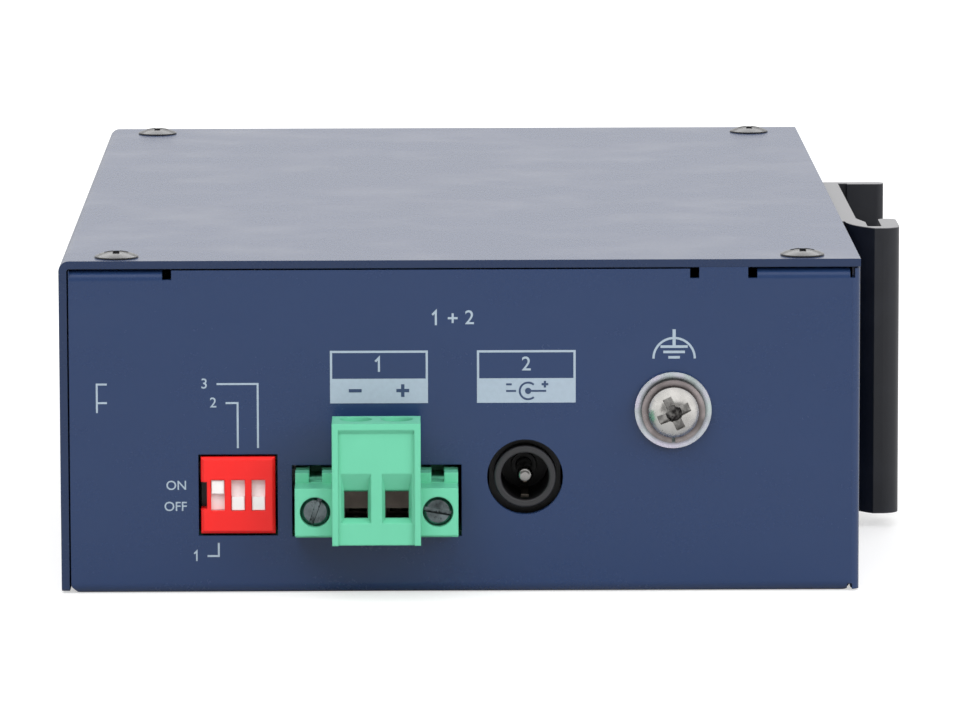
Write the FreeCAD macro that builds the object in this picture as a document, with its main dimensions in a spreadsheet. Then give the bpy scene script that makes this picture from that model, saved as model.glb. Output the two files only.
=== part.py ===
import FreeCAD, Part
import math
import os
import Sketcher

# DIN rail Ethernet switch: a folded sheet case with a power panel in front (-Y), a port wall on
# the left (-X), a rail clip on the right (+X) and a lift-off cover on top.
# The origin is the centre of the case's underside, +Z is up, and all lengths are millimetres.

doc = FreeCAD.newDocument("rail_switch")

# ---------------------------------------------------------------------------------------------
# Driving sizes
# ---------------------------------------------------------------------------------------------
SIZES = (
    # case
    ("case_width", 100.0, "outside, port wall to rail wall"),
    ("case_depth", 150.0, "outside, power panel to back panel"),
    ("case_height", 42.0, "outside, underside to cover"),
    ("tray_gauge", 1.0, "sheet of the base tray"),
    ("cover_gauge", 1.0, "sheet of the cover"),
    ("fold_radius", 0.3, "inside radius of every fold"),
    ("seam_gap", 0.2, "gap between two sheet edges"),
    ("tray_lip_height", 4.5, "upstand inside the port wall"),
    ("weld_flange_height", 5.0, "spot-welded flange inside the rail wall, above the floor"),
    ("weld_flange_width", 9.0, "spot-welded flange inside the back corner"),
    ("screw_flange_depth", 8.5, "flange that takes a cover screw"),
    ("screw_flange_reach", 37.1, "case middle to the inner end of a screw flange"),
    ("relief_width", 1.15, "relief notch beside a fold"),
    ("relief_depth", 1.2, "depth of a relief notch below the panel edge"),
    ("corner_relief", 0.6, "slot where two folds meet"),
    ("corner_chamfer", 0.9, "clipped lower corner of a panel"),
    ("contact_tab_width", 6.1, "tab that touches the cover"),
    # screws
    ("screw_side_inset", 7.1, "case side to a cover screw"),
    ("screw_front_inset", 3.8, "panel to a front cover screw"),
    ("screw_rear_inset", 6.5, "back panel to a rear cover screw"),
    ("screw_head_diameter", 5.5, "domed head of a cover screw"),
    ("screw_head_height", 0.85, "domed head above the cover"),
    ("screw_head_rim", 0.2, "straight side of a domed head"),
    ("screw_diameter", 3.0, "thread of the small screws"),
    ("screw_length", 5.0, "cover screw below its head"),
    ("board_screw_length", 4.0, "board screw below its head"),
    ("thread_gap", 0.05, "radial gap in a threaded or pressed hole"),
    ("hole_gap", 0.2, "radial gap in a clearance hole"),
    ("collar_diameter", 5.2, "drawn collar round a thread"),
    ("collar_height", 1.8, "drawn collar below its flange"),
    ("cross_width", 0.8, "arm of a cross recess"),
    ("cross_depth", 0.5, "depth of a cross recess"),
    ("cross_reach", 1.5, "screw axis to the end of a cross recess"),
    ("slot_width", 0.6, "slot in a screw head"),
    ("slot_depth", 0.8, "slot in a screw head"),
    ("head_edge", 0.25, "bevelled edge of a screw head"),
    ("pan_head_height", 2.0, "pan head of a board or clip screw"),
    # board
    ("board_thickness", 1.6, "circuit board"),
    ("board_edge_gap", 1.0, "board edge to the case wall"),
    ("standoff_height", 5.0, "floor to the board"),
    ("standoff_width", 5.5, "across the flats"),
    ("spigot_diameter", 4.2, "standoff through the floor"),
    ("standoff_inset", 5.0, "board edge to a standoff"),
    ("chip_x", 6.0, "middle of the switch chip"),
    ("chip_y", 14.0, "middle of the switch chip"),
    ("chip_width", 20.0, "switch chip"),
    ("chip_height", 1.6, "switch chip"),
    ("sink_width", 24.0, "heat sink"),
    ("sink_height", 12.0, "heat sink"),
    ("sink_plate", 2.0, "heat sink below its fins"),
    ("sink_fins", 7.0, "fins"),
    ("fin_thickness", 1.2, "fin"),
    ("transformer_width", 10.0, "isolation transformer"),
    ("transformer_depth", 12.4, "isolation transformer"),
    ("transformer_height", 6.5, "isolation transformer"),
    ("inductor_x", 20.0, "middle of the inductors"),
    ("inductor_y", -44.0, "first inductor"),
    ("inductor_pitch", 15.0, "inductor to inductor"),
    ("inductor_count", 2.0, "inductors"),
    ("inductor_width", 10.0, "inductor"),
    ("inductor_height", 5.2, "inductor"),
    ("inductor_corner", 1.6, "rounded corner of an inductor"),
    ("inductor_core_diameter", 7.4, "raised core of an inductor"),
    ("inductor_core_rise", 0.4, "core above its shell"),
    ("capacitor_inset", 12.0, "board edge to the middle of the capacitors"),
    ("capacitor_y", -50.0, "first capacitor"),
    ("capacitor_pitch", 14.0, "capacitor to capacitor"),
    ("capacitor_count", 3.0, "capacitors"),
    ("capacitor_diameter", 8.0, "capacitor"),
    ("capacitor_height", 12.0, "capacitor"),
    ("can_groove_height", 1.6, "crimped groove above the board"),
    ("can_groove", 0.5, "depth of the crimped groove"),
    ("can_round", 0.6, "rounded shoulder of the can"),
    # DIP switch
    ("dip_x", -27.8, "middle of the switch"),
    ("dip_width", 9.3, "red cover"),
    ("dip_height", 9.7, "red cover"),
    ("dip_base_depth", 1.6, "black base behind the cover"),
    ("dip_rise", 0.3, "cover proud of the panel"),
    ("dip_window_gap", 0.3, "panel window round the switch"),
    ("dip_pitch", 2.54, "slider to slider"),
    ("dip_slot_width", 1.7, "slot in the red cover"),
    ("dip_slot_height", 3.9, "slot in the red cover"),
    ("dip_face_wall", 0.8, "wall in front of the slider chambers"),
    ("dip_edge_chamfer", 0.35, "edge of the red cover"),
    ("dip_knob_setback", 0.2, "knob behind the face of the cover"),
    ("dip_chamber_width", 2.1, "chamber behind a slot"),
    ("dip_travel", 2.1, "slider throw"),
    ("dip_gap", 0.05, "slider running gap"),
    ("dip_slide_depth", 1.4, "slider plate"),
    ("dip_notch_height", 3.4, "finger notch in the left edge"),
    ("dip_notch_width", 0.75, "finger notch in the left edge"),
    ("dip_pin_width", 0.6, "leg"),
    ("dip_leg_gauge", 0.3, "leg"),
    ("dip_leg_low", 2.2, "lower leg above the board"),
    ("dip_leg_high", 6.6, "upper leg above the board"),
    ("dip_leg_offset", 0.6, "leg beside the middle of its slider"),
    ("dip_leg_reach", 0.8, "leg behind the base"),
    # terminal
    ("terminal_x", -10.45, "middle of the terminal"),
    ("terminal_pitch", 5.08, "pole to pole"),
    ("header_width", 20.3, "over the flanges"),
    ("header_height", 8.15, "board to top"),
    ("header_depth", 12.0, "front to back"),
    ("header_rise", 3.4, "proud of the panel"),
    ("header_wall", 0.9, "wall round the socket"),
    ("header_socket_depth", 9.0, "socket"),
    ("header_notch_width", 1.6, "notch over the nut"),
    ("header_notch_depth", 1.2, "notch over the nut"),
    ("header_window_gap", 0.45, "panel window round the header"),
    ("pin_width", 1.0, "square header pin"),
    ("pin_bend", 0.6, "bend radius of a header pin"),
    ("pin_setback", 1.0, "pin tip behind the header face"),
    ("plug_width", 11.0, "body outside the header"),
    ("plug_height", 15.3, "body outside the header"),
    ("plug_depth", 6.4, "body outside the header"),
    ("plug_fit", 0.15, "plug nose in the header socket"),
    ("plug_nose_width", 9.0, "nose inside the header"),
    ("plug_nose_depth", 8.5, "nose inside the header"),
    ("plug_rim", 0.8, "raised rim of the face"),
    ("plug_rim_depth", 0.4, "raised rim of the face"),
    ("plug_rim_slope", 0.5, "bevel under the top of the rim"),
    ("plug_flange_height", 6.0, "flange that takes a locking screw"),
    ("plug_flange_depth", 4.4, "flange that takes a locking screw"),
    ("plug_flange_lift", 0.9, "flange above the board"),
    ("funnel_width", 2.9, "wire entry"),
    ("funnel_height", 3.3, "wire entry"),
    ("funnel_lift", 3.3, "wire entry above the board"),
    ("funnel_slope", 2.4, "rise of the sloping roof of the entry"),
    ("funnel_flare", 0.4, "mouth beside the entry"),
    ("funnel_drop", 0.55, "mouth below the entry"),
    ("funnel_depth", 1.6, "entry from face to chamber"),
    ("chamber_width", 4.3, "clamp chamber"),
    ("chamber_depth", 4.2, "clamp chamber"),
    ("cage_gap", 0.1, "clamp cage running gap"),
    ("cage_height", 6.2, "clamp cage"),
    ("cage_roof", 1.8, "threaded top of the cage"),
    ("cage_floor", 0.9, "bottom of the cage"),
    ("cage_wall", 0.7, "side of the cage"),
    ("clamp_wire_gap", 1.35, "opening left for the wire"),
    ("clamp_closing", 1.25, "rise of the cage from rest to closed"),
    ("clamp_opening", 1.0, "drop of the cage from rest to open"),
    ("clamp_sight", 1.2, "tongue above the bottom of the entry"),
    ("clamp_web", 1.3, "wall between chamber and screwdriver opening"),
    ("tongue_thickness", 1.0, "fixed contact inside the cage"),
    ("tongue_width", 2.6, "fixed contact inside the cage"),
    ("lip_thickness", 0.5, "upturned end of the tongue"),
    ("leaf_thickness", 0.4, "spring leaf under the pin"),
    ("clamp_screw_diameter", 2.6, "thread"),
    ("clamp_head_diameter", 3.6, "slotted head"),
    ("clamp_head_height", 1.8, "slotted head"),
    ("clamp_shaft_diameter", 4.0, "screwdriver opening"),
    ("locking_spread", 15.24, "locking screw to locking screw"),
    ("locking_head_diameter", 3.4, "slotted head of a locking screw"),
    ("locking_head_height", 1.4, "slotted head of a locking screw"),
    ("locking_head_sink", 2.0, "seat of a locking screw behind the flange face"),
    ("locking_turn_left", 70.0, "angle of the left locking screw's slot"),
    ("locking_turn_right", -10.0, "angle of the right locking screw's slot"),
    ("locking_screw_diameter", 2.5, "thread of a locking screw"),
    ("locking_nut_width", 5.0, "nut in the header flange"),
    ("locking_nut_thickness", 1.8, "nut in the header flange"),
    ("locking_nut_setback", 2.5, "nut behind the header face"),
    # DC jack
    ("jack_x", 8.1, "middle of the jack"),
    ("jack_axis_height", 7.0, "axis above the board"),
    ("jack_width", 9.0, "body"),
    ("jack_height", 11.5, "body"),
    ("jack_depth", 11.0, "body"),
    ("jack_block_gap", 1.6, "body behind the panel"),
    ("jack_hole_diameter", 9.5, "hole in the panel"),
    ("jack_barrel_diameter", 7.8, "barrel in the hole"),
    ("jack_mouth_round", 0.3, "rounded edges of the barrel's mouth"),
    ("jack_bore_diameter", 6.0, "bore for the plug"),
    ("jack_bore_depth", 10.0, "bore for the plug"),
    ("jack_pin_diameter", 2.0, "centre pin"),
    ("jack_pin_setback", 1.0, "pin tip behind the barrel face"),
    ("jack_pin_round", 0.6, "rounded tip of the centre pin"),
    ("jack_foot_diameter", 3.2, "boss round the foot of the centre pin"),
    ("jack_foot_height", 0.8, "boss round the foot of the centre pin"),
    ("jack_barrel_setback", 0.3, "barrel behind the panel face"),
    ("jack_spring_width", 1.0, "side spring"),
    ("jack_spring_thickness", 0.4, "side spring"),
    ("jack_spring_root", 2.6, "axis to the foot of the spring"),
    ("jack_spring_rise", 0.7, "rise of the spring at its crest"),
    ("jack_spring_crest", 3.0, "crest of the spring behind the barrel face"),
    # ground screw
    ("ground_x", 26.6, "middle of the ground screw"),
    ("ground_z", 23.1, "middle of the ground screw"),
    ("ground_thread_diameter", 3.5, "ground screw"),
    ("ground_length", 8.0, "below the head"),
    ("ground_head_diameter", 6.3, "pan head"),
    ("ground_head_height", 2.4, "pan head"),
    ("ground_head_rim", 0.8, "straight side of the pan head"),
    ("ground_recess_width", 1.15, "arm of the recess in the pan head"),
    ("ground_recess_reach", 2.1, "screw axis to the end of an arm"),
    ("ground_recess_depth", 1.2, "depth of the arms"),
    ("ground_pit_diameter", 2.0, "pit where the arms cross"),
    ("ground_pit_depth", 1.8, "depth of the pit"),
    ("ground_turn", 25.0, "angle of the recess"),
    ("ground_washer_diameter", 9.6, "flat washer"),
    ("ground_washer_thickness", 0.8, "flat washer"),
    ("ground_spring_diameter", 7.9, "split washer"),
    ("ground_spring_thickness", 1.1, "split washer"),
    ("ground_nut_diameter", 7.0, "clinch nut behind the panel"),
    ("ground_nut_height", 3.0, "clinch nut behind the panel"),
    # rail clip
    ("rail_width", 35.0, "top-hat rail"),
    ("rail_flange", 1.0, "sheet of the rail"),
    ("clip_end_gap", 2.0, "end of the extrusion to the edge of the rail wall"),
    ("clip_plate", 3.0, "plate on the rail wall"),
    ("clip_far_wall", 20.8, "case middle to the far upstand"),
    ("clip_far_thickness", 2.2, "far upstand"),
    ("clip_far_height", 9.3, "far upstand above the rail wall"),
    ("clip_far_slot", 1.2, "groove at the root of the far upstand"),
    ("clip_far_groove", 0.6, "depth of that groove"),
    ("clip_far_round", 0.85, "edge of the far upstand"),
    ("clip_floor", 26.5, "case middle to the hook's floor"),
    ("clip_arm", 1.9, "wall of the hook"),
    ("clip_slot", 1.85, "slot under the lip"),
    ("clip_lip", 2.35, "lip of the hook"),
    ("clip_slot_depth", 8.2, "floor to lip tip"),
    ("clip_ramp", 4.0, "ramp up to the seat"),
    ("clip_nose_radius", 2.2, "outer corner of the hook"),
    ("clip_bow_radius", 10.3, "bow of the hook beside the rail wall"),
    ("clip_root", 21.0, "case middle to the near end of the plate"),
    ("clip_bow_start", 1.3, "start of the bow above the rail wall"),
    ("clip_bow_end", 0.8, "end of the bow above the rail seat"),
    ("clip_tip_radius", 1.1, "rounded tip of the lip"),
    ("clip_seat_length", 4.5, "rail seat beside the hook's floor"),
    ("clip_screw_spread", 16.0, "clip screw to clip screw"),
    ("clip_screw_y", -4.0, "clip screws from the case middle"),
    ("clip_screw_length", 8.0, "below the head"),
    ("sunk_head_diameter", 5.6, "flat head of a clip screw"),
    ("sunk_head_depth", 1.5, "flat head of a clip screw"),
    ("clinch_nut_diameter", 6.0, "clinch nut inside the rail wall"),
    ("clinch_nut_height", 2.5, "clinch nut inside the rail wall"),
    ("catch_gauge", 1.0, "spring strip"),
    ("catch_width", 24.0, "spring strip"),
    ("catch_engagement", 3.2, "rail edge under the near lip"),
    ("catch_overlap", 1.6, "catch nose over the rail edge"),
    ("catch_nose_rise", 1.0, "nose above the bend over the rail edge"),
    ("catch_flare", 2.3, "flared end above the nose"),
    ("catch_bend", 0.9, "bend radius of the strip's middle"),
    ("catch_tail", 10.0, "strip behind the clip screws"),
    ("rail_gap", 0.3, "running gap round the rail edge"),
    # ports
    ("jack_pitch", 14.0, "port to port"),
    ("port_width", 11.8, "socket"),
    ("port_height", 6.8, "socket"),
    ("port_depth", 13.5, "socket"),
    ("port_lift", 2.6, "socket above the board"),
    ("latch_width", 6.2, "latch recess"),
    ("latch_height", 1.7, "latch recess"),
    ("latch_slot_width", 3.4, "inner latch recess"),
    ("latch_slot_height", 1.2, "inner latch recess"),
    ("port_shell_height", 13.4, "jack"),
    ("port_shell_depth", 21.0, "jack"),
    ("port_shell_margin", 1.1, "jack beside its outer sockets"),
    ("shield_gauge", 0.25, "metal shield"),
    ("port_window_gap", 0.25, "window round a jack"),
    ("bank_y", 26.0, "middle of the four-port jack"),
    ("bank_ports", 4.0, "sockets in the four-port jack"),
    ("uplink_y", -19.0, "middle of the single jack"),
    ("contact_pitch", 1.016, "wire to wire"),
    ("contact_width", 0.35, "wire"),
    ("contact_front", 3.0, "fold of a wire behind the port face"),
    ("contact_fold", 0.8, "height of the fold of a wire"),
    ("contact_rise", 3.2, "end of a wire above the socket floor"),
    ("contact_count", 8.0, "wires in a socket"),
    ("sfp_width", 14.6, "fibre cage outside"),
    ("sfp_height", 9.8, "fibre cage outside"),
    ("sfp_depth", 47.0, "fibre cage"),
    ("sfp_gauge", 0.3, "fibre cage sheet"),
    ("fibre_y", -42.0, "middle of the fibre cage"),
    ("fibre_connector_width", 12.4, "connector in the cage"),
    ("fibre_connector_depth", 9.0, "connector in the cage"),
    ("fibre_connector_height", 8.0, "connector in the cage"),
    ("fibre_card_wall", 1.2, "connector beside its card slot"),
    ("fibre_card_gap", 1.2, "card slot"),
    ("fibre_card_depth", 5.5, "card slot"),
    ("led_diameter", 3.0, "light pipe"),
    ("led_height", 31.0, "light pipes above the underside"),
    ("lamp_width", 3.2, "lamp under a light pipe"),
    ("lamp_height", 1.4, "lamp under a light pipe"),
    ("fibre_lamp_y", -54.0, "lamp for the fibre cage"),
    ("reset_height", 3.6, "reset button axis above the board"),
    ("reset_diameter", 2.6, "reset button"),
    ("reset_travel", 0.5, "reset button"),
    ("reset_gap", 0.2, "reset button in its hole"),
    ("reset_body_width", 5.0, "key switch"),
    ("reset_body_depth", 5.5, "key switch"),
    ("reset_body_height", 7.0, "key switch"),
    ("reset_bore_depth", 3.0, "bore for the button"),
)


class Measure:
    """A length that carries its number and the sheet formula behind it."""

    def __init__(self, number, formula):
        self.number = float(number)
        self.formula = formula

    def __float__(self):
        return self.number

    def __add__(self, other):
        return Measure(self.number + number(other), f"({self.formula} + {formula(other)})")

    def __radd__(self, other):
        return Measure(number(other) + self.number, f"({formula(other)} + {self.formula})")

    def __sub__(self, other):
        return Measure(self.number - number(other), f"({self.formula} - {formula(other)})")

    def __rsub__(self, other):
        return Measure(number(other) - self.number, f"({formula(other)} - {self.formula})")

    def __mul__(self, other):
        return Measure(self.number * number(other), f"({self.formula} * {formula(other)})")

    __rmul__ = __mul__

    def __truediv__(self, other):
        return Measure(self.number / number(other), f"({self.formula} / {formula(other)})")

    def __neg__(self):
        return Measure(-self.number, f"(0 - {self.formula})")


def number(value):
    return value.number if isinstance(value, Measure) else float(value)


def formula(value):
    return value.formula if isinstance(value, Measure) else repr(float(value))


class SizeSheet:
    """The driving sizes, read back as attributes that keep their formula."""

    def __init__(self, rows):
        self.sheet = doc.addObject("Spreadsheet::Sheet", "Sizes")
        self.measures = {}
        for line, (alias, value, note) in enumerate(rows, start=1):
            self.sheet.set(f"A{line}", alias)
            self.sheet.set(f"B{line}", str(value))
            self.sheet.setAlias(f"B{line}", alias)
            self.sheet.set(f"C{line}", note)
            self.measures[alias] = Measure(value, f"Sizes.{alias}")
        doc.recompute()

    def __getattr__(self, alias):
        return self.measures[alias]


s = SizeSheet(SIZES)

# ---------------------------------------------------------------------------------------------
# Sketches and features
# ---------------------------------------------------------------------------------------------
START, END, CENTRE = range(1, 4)


def bind(thing, prop, value):
    """Tie a property to the sheet."""
    thing.setExpression(prop, formula(value))


def place(thing, x, y, z):
    """Tie a thing's position to the sheet."""
    for axis, value in zip("xyz", (x, y, z)):
        bind(thing, f"Placement.Base.{axis}", value)


def heading(a, b):
    """Direction from a to b, where each edge that meets a rounded corner runs along an axis."""
    dx = number(b[0]) - number(a[0])
    dy = number(b[1]) - number(a[1])
    length = math.hypot(dx, dy)
    return round(dx / length, 6), round(dy / length, 6)


def rounded(corners):
    """Turn corners into points, each with the arc that follows it.

    A corner is (x, y), (x, y, radius) where it is rounded, or (x, y, (radius, turn)) where an
    arc runs from it to the next corner.
    """
    points = []
    count = len(corners)
    for i, corner in enumerate(corners):
        if len(corner) == 2 or isinstance(corner[2], tuple):
            points.append((corner[0], corner[1], corner[2] if len(corner) == 3 else None))
            continue
        x, y, radius = corner
        ux, uy = heading(corners[i - 1], corner)
        vx, vy = heading(corner, corners[(i + 1) % count])
        turn = 1 if ux * vy - uy * vx > 0 else -1
        points.append((x - radius * ux if ux else x, y - radius * uy if uy else y, (radius, turn)))
        points.append((x + radius * vx if vx else x, y + radius * vy if vy else y, None))
    return points


def arc_centre(a, b, radius, turn):
    """Centre of the short arc from a to b; turn is 1 where it bends to the left."""
    chord = math.dist(a, b)
    rise = math.sqrt(max(radius ** 2 - chord ** 2 / 4, 0.0))
    nx, ny = -(b[1] - a[1]) / chord, (b[0] - a[0]) / chord
    return (a[0] + b[0]) / 2 + turn * rise * nx, (a[1] + b[1]) / 2 + turn * rise * ny


def fix_point(sketch, geometry, end, x, y):
    """Hold one end of a sketch line at a place, measured from the start of the sketch's axes."""
    for kind, value in (("DistanceX", x), ("DistanceY", y)):
        row = sketch.addConstraint(Sketcher.Constraint(kind, -1, START, geometry, end, number(value)))
        sketch.setExpression(f"Constraints[{row}]", formula(value))


def draw_loop(sketch, points):
    """Draw a closed outline of lines and arcs, every point and radius tied to the sheet."""
    count = len(points)
    ends = []
    for i, (x, y, arc) in enumerate(points):
        a = (number(x), number(y))
        after = points[(i + 1) % count]
        b = (number(after[0]), number(after[1]))
        if arc is None:
            line = Part.LineSegment(FreeCAD.Vector(*a, 0), FreeCAD.Vector(*b, 0))
            ends.append((sketch.addGeometry(line), START, END))
            continue
        radius, turn = arc
        cx, cy = arc_centre(a, b, number(radius), turn)
        angles = [math.atan2(p[1] - cy, p[0] - cx) for p in (a, b)]
        if turn < 0:
            angles.reverse()
        circle = Part.Circle(FreeCAD.Vector(cx, cy, 0), FreeCAD.Vector(0, 0, 1), number(radius))
        index = sketch.addGeometry(Part.ArcOfCircle(circle, *angles))
        ends.append((index, START, END) if turn > 0 else (index, END, START))
        row = sketch.addConstraint(Sketcher.Constraint("Radius", index, number(radius)))
        sketch.setExpression(f"Constraints[{row}]", formula(radius))
    for i, (index, first, last) in enumerate(ends):
        following = ends[(i + 1) % count]
        sketch.addConstraint(Sketcher.Constraint("Coincident", index, last, following[0], following[1]))
        fix_point(sketch, index, first, points[i][0], points[i][1])


def draw_circle(sketch, x, y, radius):
    """Draw a circle whose centre and radius are tied to the sheet."""
    centre = FreeCAD.Vector(number(x), number(y), 0)
    index = sketch.addGeometry(Part.Circle(centre, FreeCAD.Vector(0, 0, 1), number(radius)))
    fix_point(sketch, index, CENTRE, x, y)
    row = sketch.addConstraint(Sketcher.Constraint("Radius", index, number(radius)))
    sketch.setExpression(f"Constraints[{row}]", formula(radius))


class Circle:
    """A round outline for a sketch."""

    def __init__(self, x, y, radius):
        self.x, self.y, self.radius = x, y, radius


def rectangle(x0, x1, y0, y1, radius=None):
    """Corners of a rectangle between its four sides, rounded if a radius is given."""
    corners = ((x0, y0), (x1, y0), (x1, y1), (x0, y1))
    return corners if radius is None else tuple((*corner, radius) for corner in corners)


def new_body(label):
    """A PartDesign body that becomes one sub-part."""
    body = doc.addObject("PartDesign::Body", label)
    body.Label = label
    return body


def new_sketch(body, plane, outlines, offset):
    """A sketch on one of the body's own planes, moved along that plane's normal."""
    sketch = body.newObject("Sketcher::SketchObject", f"{body.Name}_outline")
    support = [item for item in body.Origin.OriginFeatures if item.Role == f"{plane}_Plane"][0]
    sketch.AttachmentSupport = [(support, "")]
    sketch.MapMode = "FlatFace"
    bind(sketch, "AttachmentOffset.Base.z", offset)
    for outline in outlines:
        if isinstance(outline, Circle):
            draw_circle(sketch, outline.x, outline.y, outline.radius)
        else:
            draw_loop(sketch, rounded(outline))
    return sketch


def feature(body, kind, plane, outlines, low, high):
    """Pad or pocket the outlines between two heights along the normal of their plane."""
    facing_back = plane == "XZ"
    sketch = new_sketch(body, plane, outlines, -high if facing_back else low)
    extrusion = body.newObject(f"PartDesign::{kind}", f"{body.Name}_{kind.lower()}")
    extrusion.Profile = sketch
    extrusion.Reversed = kind == "Pocket"
    bind(extrusion, "Length", high - low)
    return extrusion


def pad(body, plane, outlines, low, high):
    return feature(body, "Pad", plane, outlines, low, high)


def pocket(body, plane, outlines, low, high):
    return feature(body, "Pocket", plane, outlines, low, high)


def revolve(body, outline):
    """Turn an outline, drawn as radius and height, about the body's own Z axis."""
    sketch = new_sketch(body, "XZ", [outline], 0)
    turned = body.newObject("PartDesign::Revolution", f"{body.Name}_turned")
    turned.Profile = sketch
    turned.ReferenceAxis = (sketch, ["V_Axis"])
    turned.Angle = 360
    return turned


# ---------------------------------------------------------------------------------------------
# Primitives, booleans and groups
# ---------------------------------------------------------------------------------------------
TURNS = {
    "X": FreeCAD.Rotation(FreeCAD.Vector(0, 1, 0), 90),
    "-X": FreeCAD.Rotation(FreeCAD.Vector(0, 1, 0), -90),
    "Y": FreeCAD.Rotation(FreeCAD.Vector(1, 0, 0), -90),
    "-Y": FreeCAD.Rotation(FreeCAD.Vector(1, 0, 0), 90),
    "Z": FreeCAD.Rotation(),
}


def box(name, x0, x1, y0, y1, z0, z1):
    """Block between its six faces."""
    block = doc.addObject("Part::Box", name)
    bind(block, "Length", x1 - x0)
    bind(block, "Width", y1 - y0)
    bind(block, "Height", z1 - z0)
    place(block, x0, y0, z0)
    return block


def cylinder(name, axis, x, y, z, radius, length):
    """Rod that starts at a point and runs along an axis."""
    rod = doc.addObject("Part::Cylinder", name)
    bind(rod, "Radius", radius)
    bind(rod, "Height", length)
    rod.Placement = FreeCAD.Placement(FreeCAD.Vector(), TURNS[axis])
    place(rod, x, y, z)
    return rod


def tube(name, axis, x, y, z, outer, inner, length):
    """Rod with a bore right through it."""
    rod = cylinder(f"{name}_rod", axis, x, y, z, outer, length)
    bore = cylinder(f"{name}_bore", axis, x, y, z, inner, length)
    return cut(name, rod, bore)


def funnel(name, x, y, z, mouth, throat, depth):
    """Opening that narrows along +Y, its mouth and throat each (left, right, low, high)."""
    taper = doc.addObject("Part::Wedge", name)
    names = ("Xmin", "Xmax", "Zmin", "Zmax", "X2min", "X2max", "Z2min", "Z2max", "Ymax")
    for prop, value in zip(names, (*mouth, *throat, depth)):
        bind(taper, prop, value)
    taper.Ymin = 0
    place(taper, x, y, z)
    return taper


def fuse(name, *things):
    """One solid made of several that meet."""
    if len(things) == 1:
        return things[0]
    whole = doc.addObject("Part::MultiFuse", name)
    whole.Shapes = list(things)
    return whole


def cut(name, base, *tools):
    """What is left of a solid when the tools are taken away."""
    rest = doc.addObject("Part::Cut", name)
    rest.Base = base
    rest.Tool = fuse(f"{name}_tools", *tools)
    rest.Label = name
    return rest


def group(name, things):
    """Identical pieces that share one node, each still a solid of its own."""
    together = doc.addObject("Part::Compound", name)
    together.Links = things
    together.Label = name
    return together


def spin(axis, angle):
    """Rotation that lays a piece's own Z along the axis, after a turn about it."""
    return TURNS[axis] * FreeCAD.Rotation(FreeCAD.Vector(0, 0, 1), number(angle))


def copies(name, pattern, axis, places, angles=None):
    """One pattern piece set down at several places, its own Z turned to the axis."""
    links = []
    for (x, y, z), angle in zip(places, angles or [0] * len(places)):
        link = doc.addObject("App::Link", f"{pattern.Name}_copy")
        link.LinkedObject = pattern
        link.Placement = FreeCAD.Placement(FreeCAD.Vector(), spin(axis, angle))
        place(link, x, y, z)
        links.append(link)
    return group(name, links)


def strip(name, plane, path, thickness, radius, low, high):
    """Bent strip: a centre line of straight runs, given its gauge and its bend radius, or 0."""
    def point(u, v):
        return {
            "XY": FreeCAD.Vector(u, v, number(low)),
            "XZ": FreeCAD.Vector(u, number(low), v),
            "YZ": FreeCAD.Vector(number(low), u, v),
        }[plane]

    half = number(thickness) / 2
    bend = number(radius)
    centre_line = [(number(u), number(v)) for u, v in path]
    outline = []
    for offset, runs in ((half, centre_line), (half, centre_line[::-1])):
        outline += strip_side(runs, offset, bend)
    corners = [piece[0] for piece in outline]
    edges = []
    for i, piece in enumerate(outline):
        following = corners[(i + 1) % len(outline)]
        if len(piece) == 2:
            edges.append(Part.Arc(point(*piece[0]), point(*piece[1]), point(*following)).toShape())
        else:
            edges.append(Part.makeLine(point(*piece[0]), point(*following)))
    along = {"XY": (0, 0, 1), "XZ": (0, 1, 0), "YZ": (1, 0, 0)}[plane]
    face = Part.Face(Part.Wire(edges))
    solid = face.extrude(FreeCAD.Vector(*along) * (number(high) - number(low)))
    ribbon = doc.addObject("Part::Feature", name)
    ribbon.Shape = solid
    ribbon.Label = name
    return ribbon


def strip_side(runs, offset, bend):
    """Left side of a bent strip: points that start a straight edge, or an arc with its middle."""
    side_points = []
    last = len(runs) - 1
    for i, (x, y) in enumerate(runs):
        before = runs[i - 1] if i else None
        after = runs[i + 1] if i < last else None
        if before is None or after is None:
            a, b = (before, (x, y)) if before else ((x, y), after)
            ux, uy = heading(a, b)
            side_points.append(((x - uy * offset, y + ux * offset),))
            continue
        ux, uy = heading(before, (x, y))
        vx, vy = heading((x, y), after)
        if not bend:
            mitre = offset / (1 + ux * vx + uy * vy)
            side_points.append(((x - (uy + vy) * mitre, y + (ux + vx) * mitre),))
            continue
        turn = 1 if ux * vy - uy * vx > 0 else -1
        setback = bend * math.tan(math.acos(max(-1.0, min(1.0, ux * vx + uy * vy))) / 2)
        start = (x - ux * setback, y - uy * setback)
        finish = (x + vx * setback, y + vy * setback)
        centre = (start[0] - uy * bend * turn, start[1] + ux * bend * turn)
        reach = math.dist(centre, (x, y))
        inner = bend - turn * offset
        middle = tuple(c + (p - c) / reach * inner for c, p in zip(centre, (x, y)))
        side_points.append(((start[0] - uy * offset, start[1] + ux * offset), middle))
        side_points.append(((finish[0] - vy * offset, finish[1] + vx * offset),))
    return side_points


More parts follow.
